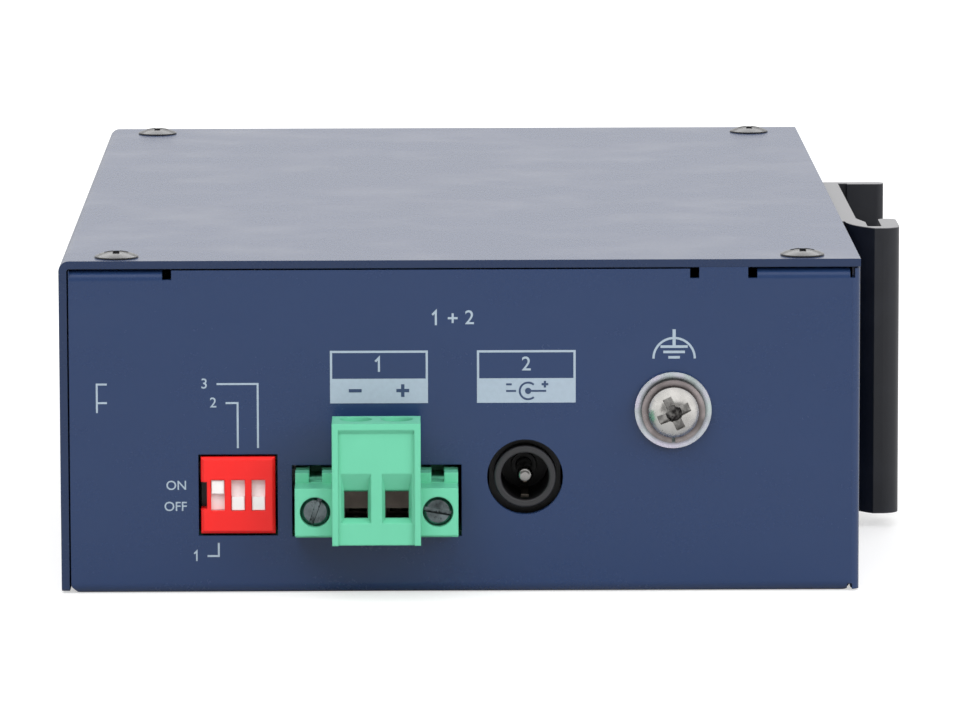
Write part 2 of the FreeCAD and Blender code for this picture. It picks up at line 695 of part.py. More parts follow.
# ---------------------------------------------------------------------------------------------
# Places on the case that several pieces share
# ---------------------------------------------------------------------------------------------
BEYOND = 1.0
side = s.case_width / 2
end = s.case_depth / 2
panel_face = -end
panel_inside = panel_face + s.tray_gauge
back_inside = end - s.tray_gauge
rail_wall_inside = side - s.tray_gauge
floor_inside = s.tray_gauge
tray_left = -side + s.cover_gauge + s.seam_gap
cover_underside = s.case_height - s.cover_gauge
tray_top = cover_underside - s.seam_gap
tray_fold = s.tray_gauge + s.fold_radius
cover_fold = s.cover_gauge + s.fold_radius
screw_flange_underside = tray_top - s.tray_gauge
board_bottom = floor_inside + s.standoff_height
board_top = board_bottom + s.board_thickness
board_left = tray_left + s.tray_gauge + s.board_edge_gap
board_right = rail_wall_inside - s.tray_gauge - s.board_edge_gap
board_front = panel_inside + s.board_edge_gap
board_back = back_inside - s.board_edge_gap
thread_radius = s.screw_diameter / 2
tapped_radius = thread_radius + s.thread_gap
clear_radius = thread_radius + s.hole_gap
cover_screw_places = [
    (x, y)
    for x in (-side + s.screw_side_inset, side - s.screw_side_inset)
    for y in (-end + s.screw_front_inset, end - s.screw_rear_inset)
]
board_screw_places = [
    (x, y)
    for x in (board_left + s.standoff_inset, board_right - s.standoff_inset)
    for y in (board_front + s.standoff_inset, board_back - s.standoff_inset)
]

# ---------------------------------------------------------------------------------------------
# Case
# ---------------------------------------------------------------------------------------------
dip_face = panel_face - s.dip_rise
dip_centre = board_top + s.dip_height / 2
header_face = panel_face - s.header_rise
header_back = header_face + s.header_depth
header_top = board_top + s.header_height
jack_axis = board_top + s.jack_axis_height
clip_middle = s.case_height / 2
clip_screw_places = [clip_middle - s.clip_screw_spread / 2, clip_middle + s.clip_screw_spread / 2]


def fold_waste(x, y, radius, x_sign, y_sign):
    """The sliver outside a fold, between its arc and the sharp corner (x, y)."""
    return (
        (x, y),
        (x + x_sign * radius, y, (radius, -x_sign * y_sign)),
        (x, y + y_sign * radius),
    )


def folded_tray():
    """Floor, power panel, back panel and rail wall, folded from one sheet."""
    tray = new_body("base_tray")
    u_section = (
        (-end, 0.0, tray_fold),
        (end, 0.0, tray_fold),
        (end, tray_top),
        (back_inside, tray_top),
        (back_inside, floor_inside, s.fold_radius),
        (panel_inside, floor_inside, s.fold_radius),
        (panel_inside, tray_top),
        (-end, tray_top),
    )
    pad(tray, "YZ", [u_section], tray_left, rail_wall_inside)
    lip = rectangle(tray_left, tray_left + s.tray_gauge, 0.0, s.tray_lip_height)
    pad(tray, "XZ", [lip], panel_inside, back_inside)
    flange_top = floor_inside + s.weld_flange_height
    weld_flange = rectangle(rail_wall_inside - s.tray_gauge, rail_wall_inside, 0.0, flange_top)
    pad(tray, "XZ", [weld_flange], panel_inside, back_inside)
    folds = [
        fold_waste(tray_left, 0.0, tray_fold, 1, 1),
        fold_waste(rail_wall_inside, 0.0, tray_fold, -1, 1),
    ]
    pocket(tray, "XZ", folds, -end - BEYOND, end + BEYOND)
    rail_wall = (
        (side - tray_fold, -end, (tray_fold, 1)),
        (side, -end + tray_fold),
        (side, back_inside - s.seam_gap),
        (rail_wall_inside, back_inside - s.seam_gap),
        (rail_wall_inside, panel_inside + s.fold_radius, (s.fold_radius, -1)),
        (side - tray_fold, panel_inside),
    )
    pad(tray, "XY", [rail_wall], s.seam_gap, tray_top)
    back_edge = rectangle(rail_wall_inside, side, back_inside, end)
    pad(tray, "XY", [back_edge], tray_fold, tray_top)
    back_flange = rectangle(
        rail_wall_inside - s.tray_gauge, rail_wall_inside, back_inside - s.weld_flange_width, back_inside
    )
    pad(tray, "XY", [back_flange], board_top + s.weld_flange_width, screw_flange_underside - BEYOND)
    add_screw_flanges(tray)
    tab_left = s.screw_flange_reach - s.relief_width - s.contact_tab_width
    tab = rectangle(tab_left, tab_left + s.contact_tab_width, screw_flange_underside, cover_underside)
    pad(tray, "XZ", [tab], -end, panel_inside)
    cut_panel(tray, tab_left)
    cut_floor_and_wall(tray)
    return tray


def add_screw_flanges(tray):
    """Four flanges folded in under the cover, each with a drawn and tapped collar."""
    outer = side - tray_fold
    for x_sign in (-1, 1):
        reach = [x_sign * s.screw_flange_reach, x_sign * outer]
        low, high = sorted(reach, key=number)
        for y_sign in (-1, 1):
            edge = y_sign * end
            inside = y_sign * (end - s.tray_gauge)
            tip = y_sign * (end - s.screw_flange_depth)
            near, far = sorted((tip, inside), key=number)
            pad(tray, "YZ", [rectangle(near, far, screw_flange_underside, tray_top)], low, high)
            fold = fold_waste(edge, tray_top, tray_fold, -y_sign, -1)
            pocket(tray, "YZ", [fold], low, high)
            fillet = fold_waste(inside, screw_flange_underside, s.fold_radius, -y_sign, -1)
            pad(tray, "YZ", [fillet], low, high)
    collars = [Circle(x, y, s.collar_diameter / 2) for x, y in cover_screw_places]
    pad(tray, "XY", collars, screw_flange_underside - s.collar_height, screw_flange_underside)
    holes = [Circle(x, y, tapped_radius) for x, y in cover_screw_places]
    pocket(tray, "XY", holes, screw_flange_underside - s.collar_height - BEYOND, tray_top + BEYOND)


def cut_panel(tray, tab_left):
    """Relief notches, clipped corners and the windows of the power panel."""
    notch_bottom = tray_top - s.relief_depth
    outer = side - tray_fold
    reach = s.screw_flange_reach
    notches = [
        rectangle(-reach, -reach + s.relief_width, notch_bottom, s.case_height),
        rectangle(tab_left - s.relief_width, tab_left, notch_bottom, s.case_height),
        rectangle(reach - s.relief_width, reach, notch_bottom, s.case_height),
        rectangle(outer, outer + s.corner_relief, notch_bottom, s.case_height),
        rectangle(outer - s.seam_gap, outer - s.seam_gap + s.corner_relief, -BEYOND, s.corner_chamfer),
    ]
    pocket(tray, "XZ", notches, -end - BEYOND, panel_inside + s.fold_radius)
    back_notches = [
        rectangle(-reach, -reach + s.relief_width, notch_bottom, s.case_height),
        rectangle(reach - s.relief_width, reach, notch_bottom, s.case_height),
        rectangle(outer, outer + s.corner_relief, notch_bottom, s.case_height),
    ]
    pocket(tray, "XZ", back_notches, back_inside - s.fold_radius, end + BEYOND)
    chamfer = (
        (tray_left - BEYOND, -BEYOND),
        (tray_left + s.corner_chamfer + BEYOND, -BEYOND),
        (tray_left - BEYOND, s.corner_chamfer + BEYOND),
    )
    pocket(tray, "XZ", [chamfer], -end - BEYOND, panel_inside + s.fold_radius)
    dip_half = s.dip_width / 2 + s.dip_window_gap
    header_half = s.header_width / 2 + s.header_window_gap
    windows = [
        rectangle(
            s.dip_x - dip_half,
            s.dip_x + dip_half,
            board_top - s.dip_window_gap,
            board_top + s.dip_height + s.dip_window_gap,
        ),
        rectangle(
            s.terminal_x - header_half,
            s.terminal_x + header_half,
            board_top - s.header_window_gap,
            header_top + s.header_window_gap,
        ),
        Circle(s.jack_x, jack_axis, s.jack_hole_diameter / 2),
        Circle(s.ground_x, s.ground_z, s.ground_thread_diameter / 2 + s.hole_gap),
    ]
    pocket(tray, "XZ", windows, -end - BEYOND, panel_inside + BEYOND)


def cut_floor_and_wall(tray):
    """Holes for the standoffs in the floor and for the clip screws in the rail wall."""
    spigots = [Circle(x, y, s.spigot_diameter / 2 + s.thread_gap) for x, y in board_screw_places]
    pocket(tray, "XY", spigots, -BEYOND, floor_inside + BEYOND)
    holes = [Circle(s.clip_screw_y, z, clear_radius) for z in clip_screw_places]
    pocket(tray, "YZ", holes, rail_wall_inside - BEYOND, side + BEYOND)


def folded_cover():
    """Top plate and port wall, folded from one sheet, with the windows of the port wall."""
    cover = new_body("top_cover")
    wall_bottom = s.seam_gap
    section = (
        (-side, wall_bottom),
        (-side + s.cover_gauge, wall_bottom),
        (-side + s.cover_gauge, cover_underside, s.fold_radius),
        (side, cover_underside),
        (side, s.case_height),
        (-side, s.case_height, cover_fold),
    )
    pad(cover, "XZ", [section], -end, end)
    corners = [
        fold_waste(-end, wall_bottom, s.cover_gauge, 1, 1),
        fold_waste(end, wall_bottom, s.cover_gauge, -1, 1),
    ]
    pocket(cover, "YZ", corners, -side - BEYOND, -side + s.cover_gauge + BEYOND)
    holes = [Circle(x, y, clear_radius) for x, y in cover_screw_places]
    pocket(cover, "XY", holes, cover_underside - BEYOND, s.case_height + BEYOND)
    windows = [
        jack_window(s.bank_y, bank_width / 2),
        jack_window(s.uplink_y, uplink_width / 2),
        rectangle(
            s.fibre_y - s.sfp_width / 2 - s.port_window_gap,
            s.fibre_y + s.sfp_width / 2 + s.port_window_gap,
            board_top - s.port_window_gap,
            board_top + s.sfp_height + s.port_window_gap,
        ),
        Circle(reset_y, reset_axis, s.reset_diameter / 2 + s.reset_gap),
    ]
    windows += [Circle(y, s.led_height, s.led_diameter / 2 + s.thread_gap) for y in lamp_places]
    pocket(cover, "YZ", windows, -side - BEYOND, -side + s.cover_gauge + BEYOND)
    return cover


def jack_window(y, half_width):
    """Window in the port wall round one jack."""
    return rectangle(
        y - half_width - s.port_window_gap,
        y + half_width + s.port_window_gap,
        board_top - s.port_window_gap,
        board_top + s.port_shell_height + s.port_window_gap,
    )


# ---------------------------------------------------------------------------------------------
# Screws and standoffs
# ---------------------------------------------------------------------------------------------
def cross_recess(body, head_top, width=s.cross_width, tip=s.cross_reach, depth=s.cross_depth):
    """Cross recess in a screw head whose top is at head_top on the screw's own axis."""
    arm = width / 2
    cross = (
        (-tip, -arm), (-arm, -arm), (-arm, -tip), (arm, -tip), (arm, -arm), (tip, -arm),
        (tip, arm), (arm, arm), (arm, tip), (-arm, tip), (-arm, arm), (-tip, arm),
    )
    pocket(body, "XY", [cross], head_top - depth, head_top + BEYOND)


def slot_recess(body, head_radius, head_top):
    """Slot right across a screw head."""
    reach = head_radius + BEYOND
    slot = rectangle(-reach, reach, -s.slot_width / 2, s.slot_width / 2)
    pocket(body, "XY", [slot], head_top - s.slot_depth, head_top + BEYOND)


def headed_screw(name, shank_radius, length, head_radius, head_height):
    """Screw along its own Z axis, its head standing on the plane z = 0."""
    screw = new_body(name)
    revolve(screw, (
        (0.0, -length),
        (shank_radius, -length),
        (shank_radius, 0.0),
        (head_radius, 0.0),
        (head_radius, head_height - s.head_edge),
        (head_radius - s.head_edge, head_height),
        (0.0, head_height),
    ))
    return screw


def domed_screw(name, shank_radius, length, head_radius, rim, top):
    """Screw along its own Z axis, its head a shallow dome above a straight rim."""
    screw = new_body(name)
    rise = top - rim
    dome_radius = (head_radius * head_radius + rise * rise) / (2 * rise)
    revolve(screw, (
        (0.0, -length),
        (shank_radius, -length),
        (shank_radius, 0.0),
        (head_radius, 0.0),
        (head_radius, rim, (dome_radius, 1)),
        (0.0, top),
    ))
    return screw


def cover_screws():
    pattern = domed_screw(
        "cover_screw", thread_radius, s.screw_length, s.screw_head_diameter / 2, s.screw_head_rim,
        s.screw_head_height,
    )
    cross_recess(pattern, s.screw_head_height)
    return copies("cover_screws", pattern, "Z", [(x, y, s.case_height) for x, y in cover_screw_places])


def board_screws():
    pattern = headed_screw(
        "board_screw", thread_radius, s.board_screw_length, s.screw_head_diameter / 2, s.pan_head_height
    )
    cross_recess(pattern, s.pan_head_height)
    return copies("board_screws", pattern, "Z", [(x, y, board_top) for x, y in board_screw_places])


def board_standoffs():
    """Hexagonal standoffs, clinched into the floor by a round spigot."""
    stands = []
    for x, y in board_screw_places:
        hexagon = doc.addObject("Part::Prism", "standoff_hexagon")
        hexagon.Polygon = 6
        bind(hexagon, "Circumradius", s.standoff_width / math.sqrt(3))
        bind(hexagon, "Height", s.standoff_height)
        place(hexagon, x, y, floor_inside)
        spigot = cylinder("standoff_spigot", "Z", x, y, 0.0, s.spigot_diameter / 2, floor_inside)
        bore = cylinder("standoff_bore", "Z", x, y, -BEYOND, tapped_radius, board_top + BEYOND)
        stands.append(cut("standoff", fuse("standoff_blank", hexagon, spigot), bore))
    return group("board_standoffs", stands)


# ---------------------------------------------------------------------------------------------
# Circuit board and what is soldered to it
# ---------------------------------------------------------------------------------------------
def circuit_board():
    slab = box("board_slab", board_left, board_right, board_front, board_back, board_bottom, board_top)
    depth = s.board_thickness + 2 * BEYOND
    holes = [
        cylinder("board_hole", "Z", x, y, board_bottom - BEYOND, clear_radius, depth)
        for x, y in board_screw_places
    ]
    return cut("circuit_board", slab, *holes)


def on_board(name, x, y, width, depth, height):
    """Block standing on the board, centred on x and y."""
    across = (x - width / 2, x + width / 2)
    along = (y - depth / 2, y + depth / 2)
    return box(name, *across, *along, board_top, board_top + height)


def switch_chip():
    return on_board("switch_chip", s.chip_x, s.chip_y, s.chip_width, s.chip_width, s.chip_height)


def heatsink():
    """Finned block on the switch chip, its channels running front to back."""
    base = board_top + s.chip_height
    half = s.sink_width / 2
    block = box(
        "sink_block", s.chip_x - half, s.chip_x + half, s.chip_y - half, s.chip_y + half,
        base, base + s.sink_height,
    )
    fins = int(number(s.sink_fins))
    pitch = (s.sink_width - s.fin_thickness) / (fins - 1)
    channels = [
        box(
            "sink_channel",
            s.chip_x - half + i * pitch + s.fin_thickness,
            s.chip_x - half + (i + 1) * pitch,
            s.chip_y - half - BEYOND,
            s.chip_y + half + BEYOND,
            base + s.sink_plate,
            base + s.sink_height + BEYOND,
        )
        for i in range(fins - 1)
    ]
    return cut("heatsink", block, *channels)


def port_transformers():
    """One isolation transformer behind each socket."""
    size = (s.transformer_width, s.transformer_depth, s.transformer_height)
    blocks = [on_board("port_transformer", transformer_x, y, *size) for y in socket_places]
    return group("port_transformers", blocks)


def power_inductors():
    """Shielded inductors, the round core standing a little above the square shell."""
    half = s.inductor_width / 2
    pattern = new_body("inductor")
    shell = rectangle(-half, half, -half, half, s.inductor_corner)
    pad(pattern, "XY", [shell], 0.0, s.inductor_height)
    core = Circle(0.0, 0.0, s.inductor_core_diameter / 2)
    pad(pattern, "XY", [core], s.inductor_height - BEYOND, s.inductor_height + s.inductor_core_rise)
    places = [
        (s.inductor_x, s.inductor_y + i * s.inductor_pitch, board_top)
        for i in range(int(number(s.inductor_count)))
    ]
    return copies("power_inductors", pattern, "Z", places)


def power_capacitors():
    """Electrolytic cans in a row along the rail wall, each crimped near its foot."""
    radius = s.capacitor_diameter / 2
    pattern = new_body("capacitor")
    revolve(pattern, (
        (0.0, 0.0),
        (radius, 0.0),
        (radius, s.can_groove_height - s.can_groove),
        (radius - s.can_groove, s.can_groove_height),
        (radius, s.can_groove_height + s.can_groove),
        (radius, s.capacitor_height - s.can_round),
        (radius - s.can_round, s.capacitor_height),
        (0.0, s.capacitor_height),
    ))
    places = [
        (board_right - s.capacitor_inset, s.capacitor_y + i * s.capacitor_pitch, board_top)
        for i in range(int(number(s.capacitor_count)))
    ]
    return copies("power_capacitors", pattern, "Z", places)


# ---------------------------------------------------------------------------------------------
# Port wall
# ---------------------------------------------------------------------------------------------
port_face = -side
port_back = port_face + s.port_shell_depth
bank_ports = int(number(s.bank_ports))
bank_width = s.bank_ports * s.jack_pitch + 2 * s.port_shell_margin
uplink_width = s.jack_pitch + 2 * s.port_shell_margin
bank_places = [s.bank_y + (i - (bank_ports - 1) / 2) * s.jack_pitch for i in range(bank_ports)]
socket_places = bank_places + [s.uplink_y]
lamp_places = socket_places + [s.fibre_lamp_y]
lamp_x = port_back + s.led_diameter
transformer_x = lamp_x + s.led_diameter + s.transformer_width / 2
socket_floor = board_top + s.port_lift
socket_roof = socket_floor + s.port_height
reset_axis = board_top + s.reset_height
reset_y = (s.bank_y - bank_width / 2 + s.uplink_y + uplink_width / 2) / 2


def jack_shield(name, y, width):
    """Folded metal shield over a jack, open towards the plug and the board."""
    top = board_top + s.port_shell_height
    outside = box(f"{name}_outside", port_face, port_back, y - width / 2, y + width / 2, board_top, top)
    inside = box(
        f"{name}_inside",
        port_face - BEYOND,
        port_back - s.shield_gauge,
        y - width / 2 + s.shield_gauge,
        y + width / 2 - s.shield_gauge,
        board_top - BEYOND,
        top - s.shield_gauge,
    )
    return cut(name, outside, inside)


def jack_housing(name, y, width, places):
    """Moulded jack body with one stepped socket for each plug."""
    block = box(
        f"{name}_block",
        port_face,
        port_back - s.shield_gauge,
        y - width / 2 + s.shield_gauge,
        y + width / 2 - s.shield_gauge,
        board_top,
        board_top + s.port_shell_height - s.shield_gauge,
    )
    hollows = []
    for place_y in places:
        steps = (
            (s.port_width, socket_floor, s.port_height),
            (s.latch_width, socket_roof, s.latch_height),
            (s.latch_slot_width, socket_roof + s.latch_height, s.latch_slot_height),
        )
        for step_width, bottom, height in steps:
            hollows.append(box(
                f"{name}_hollow",
                port_face - BEYOND,
                port_face + s.port_depth,
                place_y - step_width / 2,
                place_y + step_width / 2,
                bottom,
                bottom + height,
            ))
    return cut(name, block, fuse(f"{name}_hollows", *hollows))


def jack_contacts(name, places):
    """Eight sprung wires on the floor of each socket, folded back towards the plug."""
    wires = []
    count = int(number(s.contact_count))
    half = s.contact_width / 2
    back = port_face + s.port_depth
    path = (
        (back, socket_floor + half),
        (port_face + s.contact_front, socket_floor + half),
        (port_face + s.contact_front, socket_floor + half + s.contact_fold),
        (back - s.contact_front, socket_floor + s.contact_rise),
    )
    for place_y in places:
        for i in range(count):
            y = place_y + (i - (count - 1) / 2) * s.contact_pitch - half
            wires.append(strip("contact", "XZ", path, s.contact_width, 0, y, y + s.contact_width))
    return group(name, wires)


def fibre_cage():
    """Folded cage for a fibre module, open at the port wall and under its connector."""
    half = s.sfp_width / 2
    back = port_face + s.sfp_depth
    outside = box("cage_outside", port_face, back, s.fibre_y - half, s.fibre_y + half, board_top,
                  board_top + s.sfp_height)
    inside = box(
        "cage_inside",
        port_face - BEYOND,
        back - s.sfp_gauge,
        s.fibre_y - half + s.sfp_gauge,
        s.fibre_y + half - s.sfp_gauge,
        board_top + s.sfp_gauge,
        board_top + s.sfp_height - s.sfp_gauge,
    )
    underneath = box(
        "cage_underneath",
        fibre_connector_front - s.hole_gap,
        back - s.sfp_gauge,
        s.fibre_y - s.fibre_connector_width / 2 - s.hole_gap,
        s.fibre_y + s.fibre_connector_width / 2 + s.hole_gap,
        board_top - BEYOND,
        board_top + s.sfp_gauge,
    )
    return cut("fibre_cage", outside, fuse("cage_hollow", inside, underneath))


fibre_connector_front = port_face + s.sfp_depth - s.sfp_gauge - s.fibre_connector_depth - BEYOND


def fibre_connector():
    """Card-edge connector at the far end of the cage."""
    half = s.fibre_connector_width / 2
    block = box(
        "connector_block", fibre_connector_front, fibre_connector_front + s.fibre_connector_depth,
        s.fibre_y - half, s.fibre_y + half, board_top, board_top + s.fibre_connector_height,
    )
    middle = board_top + s.fibre_connector_height / 2
    slot = box(
        "connector_slot",
        fibre_connector_front - BEYOND,
        fibre_connector_front + s.fibre_card_depth,
        s.fibre_y - half + s.fibre_card_wall,
        s.fibre_y + half - s.fibre_card_wall,
        middle - s.fibre_card_gap / 2,
        middle + s.fibre_card_gap / 2,
    )
    return cut("fibre_connector", block, slot)


def light_pipes():
    """Clear rods from each lamp up and out through the port wall, their elbows cut at 45 degrees."""
    radius = s.led_diameter / 2
    pattern = new_body("light_pipe")
    pad(pattern, "YZ", [Circle(0.0, s.led_height, radius)], port_face, lamp_x + radius)
    pad(pattern, "XY", [Circle(lamp_x, 0.0, radius)], board_top + s.lamp_height, s.led_height + radius)
    reach = s.led_diameter
    corner = (
        (lamp_x + reach, s.led_height - reach),
        (lamp_x + reach, s.led_height + reach),
        (lamp_x - reach, s.led_height + reach),
    )
    pocket(pattern, "XZ", [corner], -reach, reach)
    return copies("light_pipes", pattern, "Z", [(0.0, y, 0.0) for y in lamp_places])


def status_lamps():
    lamps = [
        on_board("lamp", lamp_x, y, s.lamp_width, s.lamp_width, s.lamp_height)
        for y in lamp_places
    ]
    return group("status_lamps", lamps)


def reset_switch():
    """Right-angle key switch with a blind bore for its button."""
    half = s.reset_body_width / 2
    block = box(
        "reset_block", reset_front, reset_front + s.reset_body_depth, reset_y - half, reset_y + half,
        board_top, board_top + s.reset_body_height,
    )
    bore = cylinder(
        "reset_bore", "X", reset_front - BEYOND, reset_y, reset_axis,
        s.reset_diameter / 2 + s.thread_gap, BEYOND + s.reset_bore_depth,
    )
    return cut("reset_switch", block, bore)


reset_front = board_left


def reset_button():
    """Round button, resting proud of the port wall by a little more than its travel."""
    tip = port_face - s.reset_travel - s.seam_gap
    tail = reset_front + s.reset_bore_depth - s.reset_travel - s.seam_gap
    return cylinder("reset_button", "X", tip, reset_y, reset_axis, s.reset_diameter / 2, tail - tip)


# ---------------------------------------------------------------------------------------------
# DIP switch
# ---------------------------------------------------------------------------------------------
dip_bottom = board_top
dip_top = board_top + s.dip_height
dip_left = s.dip_x - s.dip_width / 2
dip_right = s.dip_x + s.dip_width / 2
dip_cover_back = dip_face + s.dip_face_wall + s.dip_slide_depth + 2 * s.dip_gap
dip_places = [s.dip_x + (i - 1) * s.dip_pitch for i in range(3)]
knob_height = s.dip_slot_height - s.dip_travel - 2 * s.dip_gap
slide_height = s.dip_slot_height + s.dip_travel
slide_width = s.dip_chamber_width - 2 * s.dip_gap


def dip_cover():
    """Red front with three slots, a chamber behind each and a notch in its left edge."""
    blank = box("dip_blank", dip_left, dip_right, dip_face, dip_cover_back, dip_bottom, dip_top)
    edge = doc.addObject("Part::Chamfer", "dip_blank_chamfered")
    edge.Base = blank
    doc.recompute()
    front = [
        i for i, item in enumerate(blank.Shape.Edges, start=1)
        if all(abs(v.Y - number(dip_face)) < 1e-6 for v in item.Vertexes)
    ]
    edge.Edges = [(i, number(s.dip_edge_chamfer), number(s.dip_edge_chamfer)) for i in front]
    hollows = [box(
        "dip_notch", dip_left - BEYOND, dip_left + s.dip_notch_width, dip_face - BEYOND,
        dip_cover_back + BEYOND, dip_centre - s.dip_notch_height / 2, dip_centre + s.dip_notch_height / 2,
    )]
    chamber_half = (slide_height + s.dip_travel) / 2 + s.dip_gap
    for x in dip_places:
        slot = box(
            "dip_slot", x - s.dip_slot_width / 2, x + s.dip_slot_width / 2, dip_face - BEYOND,
            dip_face + s.dip_face_wall + BEYOND / 2,
            dip_centre - s.dip_slot_height / 2, dip_centre + s.dip_slot_height / 2,
        )
        chamber = box(
            "dip_chamber", x - s.dip_chamber_width / 2, x + s.dip_chamber_width / 2,
            dip_face + s.dip_face_wall, dip_cover_back + BEYOND,
            dip_centre - chamber_half, dip_centre + chamber_half,
        )
        hollows.append(fuse("dip_hollow", slot, chamber))
    return cut("dip_cover", edge, *hollows)


def dip_base():
    return box(
        "dip_base", dip_left, dip_right, dip_cover_back, dip_cover_back + s.dip_base_depth,
        dip_bottom, dip_top,
    )


def dip_legs():
    """Legs bent down behind the base onto the board, one pair for each slider."""
    back = dip_cover_back + s.dip_base_depth
    legs = []
    for x in dip_places:
        for lift in (s.dip_leg_low, s.dip_leg_high):
            offset = s.dip_leg_offset if lift is s.dip_leg_high else -s.dip_leg_offset
            path = (
                (back, board_top + lift),
                (back + s.dip_leg_reach + lift / 2, board_top + lift),
                (back + s.dip_leg_reach + lift / 2, board_top),
            )
            legs.append(strip("dip_leg", "YZ", path, s.dip_leg_gauge, s.dip_leg_gauge,
                              x + offset - s.dip_pin_width / 2, x + offset + s.dip_pin_width / 2))
    return group("dip_legs", legs)


def dip_slider(index, x, height):
    """Slider plate with its knob, resting at the given height."""
    front = dip_face + s.dip_face_wall + s.dip_gap
    plate = box(
        "slide_plate", x - slide_width / 2, x + slide_width / 2, front, front + s.dip_slide_depth,
        height - slide_height / 2, height + slide_height / 2,
    )
    knob_half = s.dip_slot_width / 2 - s.dip_gap
    knob = box(
        "slide_knob", x - knob_half, x + knob_half,
        dip_face + s.dip_knob_setback, front + s.dip_slide_depth / 2,
        height - knob_height / 2, height + knob_height / 2,
    )
    return fuse(f"dip_slider_{index}", plate, knob)


# ---------------------------------------------------------------------------------------------
# Power terminal: header on the board, plug with its two screw clamps
# ---------------------------------------------------------------------------------------------
plug_face = header_face - s.plug_depth
plug_bottom = board_top
plug_top = plug_bottom + s.plug_height
flange_face = header_face - s.plug_flange_depth
flange_bottom = board_top + s.plug_flange_lift
flange_top = flange_bottom + s.plug_flange_height
flange_axis = (flange_bottom + flange_top) / 2
locking_places = [s.terminal_x - s.locking_spread / 2, s.terminal_x + s.locking_spread / 2]
pole_places = [s.terminal_x - s.terminal_pitch / 2, s.terminal_x + s.terminal_pitch / 2]
nose_half = s.plug_nose_width / 2
nose_bottom = board_top + s.header_wall + s.plug_fit
nose_top = header_top - s.header_wall - s.plug_fit
nut_front = header_face + s.locking_nut_setback
entry_bottom = board_top + s.funnel_lift
entry_top = entry_bottom + s.funnel_height
entry_face = plug_face + s.plug_rim_depth
chamber_front = plug_face + s.funnel_depth
chamber_back = chamber_front + s.chamber_depth
tongue_bottom = entry_bottom + s.clamp_sight
tongue_top = tongue_bottom + s.tongue_thickness
cage_bottom = tongue_bottom - s.clamp_wire_gap - s.cage_floor
chamber_bottom = cage_bottom - s.clamp_opening - s.cage_gap
chamber_top = cage_bottom + s.cage_height + s.clamp_closing + s.cage_gap
head_seat = chamber_top + s.clamp_web
pin_top = tongue_bottom - s.thread_gap
pin_bottom = pin_top - s.pin_width


def terminal_header():
    """Header with a socket between two flanges, each holding a nut in a slot from above."""
    half = s.header_width / 2
    block = box(
        "header_block", s.terminal_x - half, s.terminal_x + half, header_face, header_back,
        board_top, header_top,
    )
    hollows = [box(
        "header_socket",
        s.terminal_x - nose_half - s.plug_fit,
        s.terminal_x + nose_half + s.plug_fit,
        header_face - BEYOND,
        header_face + s.header_socket_depth,
        board_top + s.header_wall,
        header_top - s.header_wall,
    )]
    for x in pole_places:
        hollows.append(box(
            "header_pin_hole", x - s.pin_width / 2, x + s.pin_width / 2, header_face,
            header_back + BEYOND, pin_bottom, pin_top,
        ))
    nut_half = s.locking_nut_width / 2 + s.thread_gap
    notch_half = s.header_notch_width / 2
    for x in locking_places:
        hole = cylinder(
            "header_screw_hole", "Y", x, header_face - BEYOND, flange_axis,
            s.locking_screw_diameter / 2 + s.hole_gap, BEYOND + s.header_depth - s.header_wall,
        )
        slot = box(
            "header_nut_slot", x - nut_half, x + nut_half, nut_front - s.thread_gap,
            nut_front + s.locking_nut_thickness + s.thread_gap, flange_axis - nut_half, header_top + BEYOND,
        )
        notch = box(
            "header_notch", x - notch_half, x + notch_half, header_face - BEYOND,
            header_face + s.header_socket_depth,
            header_top - s.header_notch_depth, header_top + BEYOND,
        )
        hollows.append(fuse("header_flange_hollow", hole, slot, notch))
    return cut("terminal_header", block, fuse("header_hollow", *hollows))


def header_pins():
    """Square pins bent down behind the header onto the board."""
    pins = []
    for x in pole_places:
        path = (
            (header_face + s.pin_setback, (pin_bottom + pin_top) / 2),
            (header_back + s.pin_width, (pin_bottom + pin_top) / 2),
            (header_back + s.pin_width, board_top),
        )
        pins.append(strip("header_pin", "YZ", path, s.pin_width, s.pin_bend,
                          x - s.pin_width / 2, x + s.pin_width / 2))
    return group("header_pins", pins)


def header_nuts():
    nuts = []
    half = s.locking_nut_width / 2
    for x in locking_places:
        block = box(
            "nut_block", x - half, x + half, nut_front, nut_front + s.locking_nut_thickness,
            flange_axis - half, flange_axis + half,
        )
        bore = cylinder(
            "nut_bore", "Y", x, nut_front - BEYOND, flange_axis,
            s.locking_screw_diameter / 2 + s.thread_gap, s.locking_nut_thickness + 2 * BEYOND,
        )
        nuts.append(cut("header_nut", block, bore))
    return group("header_nuts", nuts)


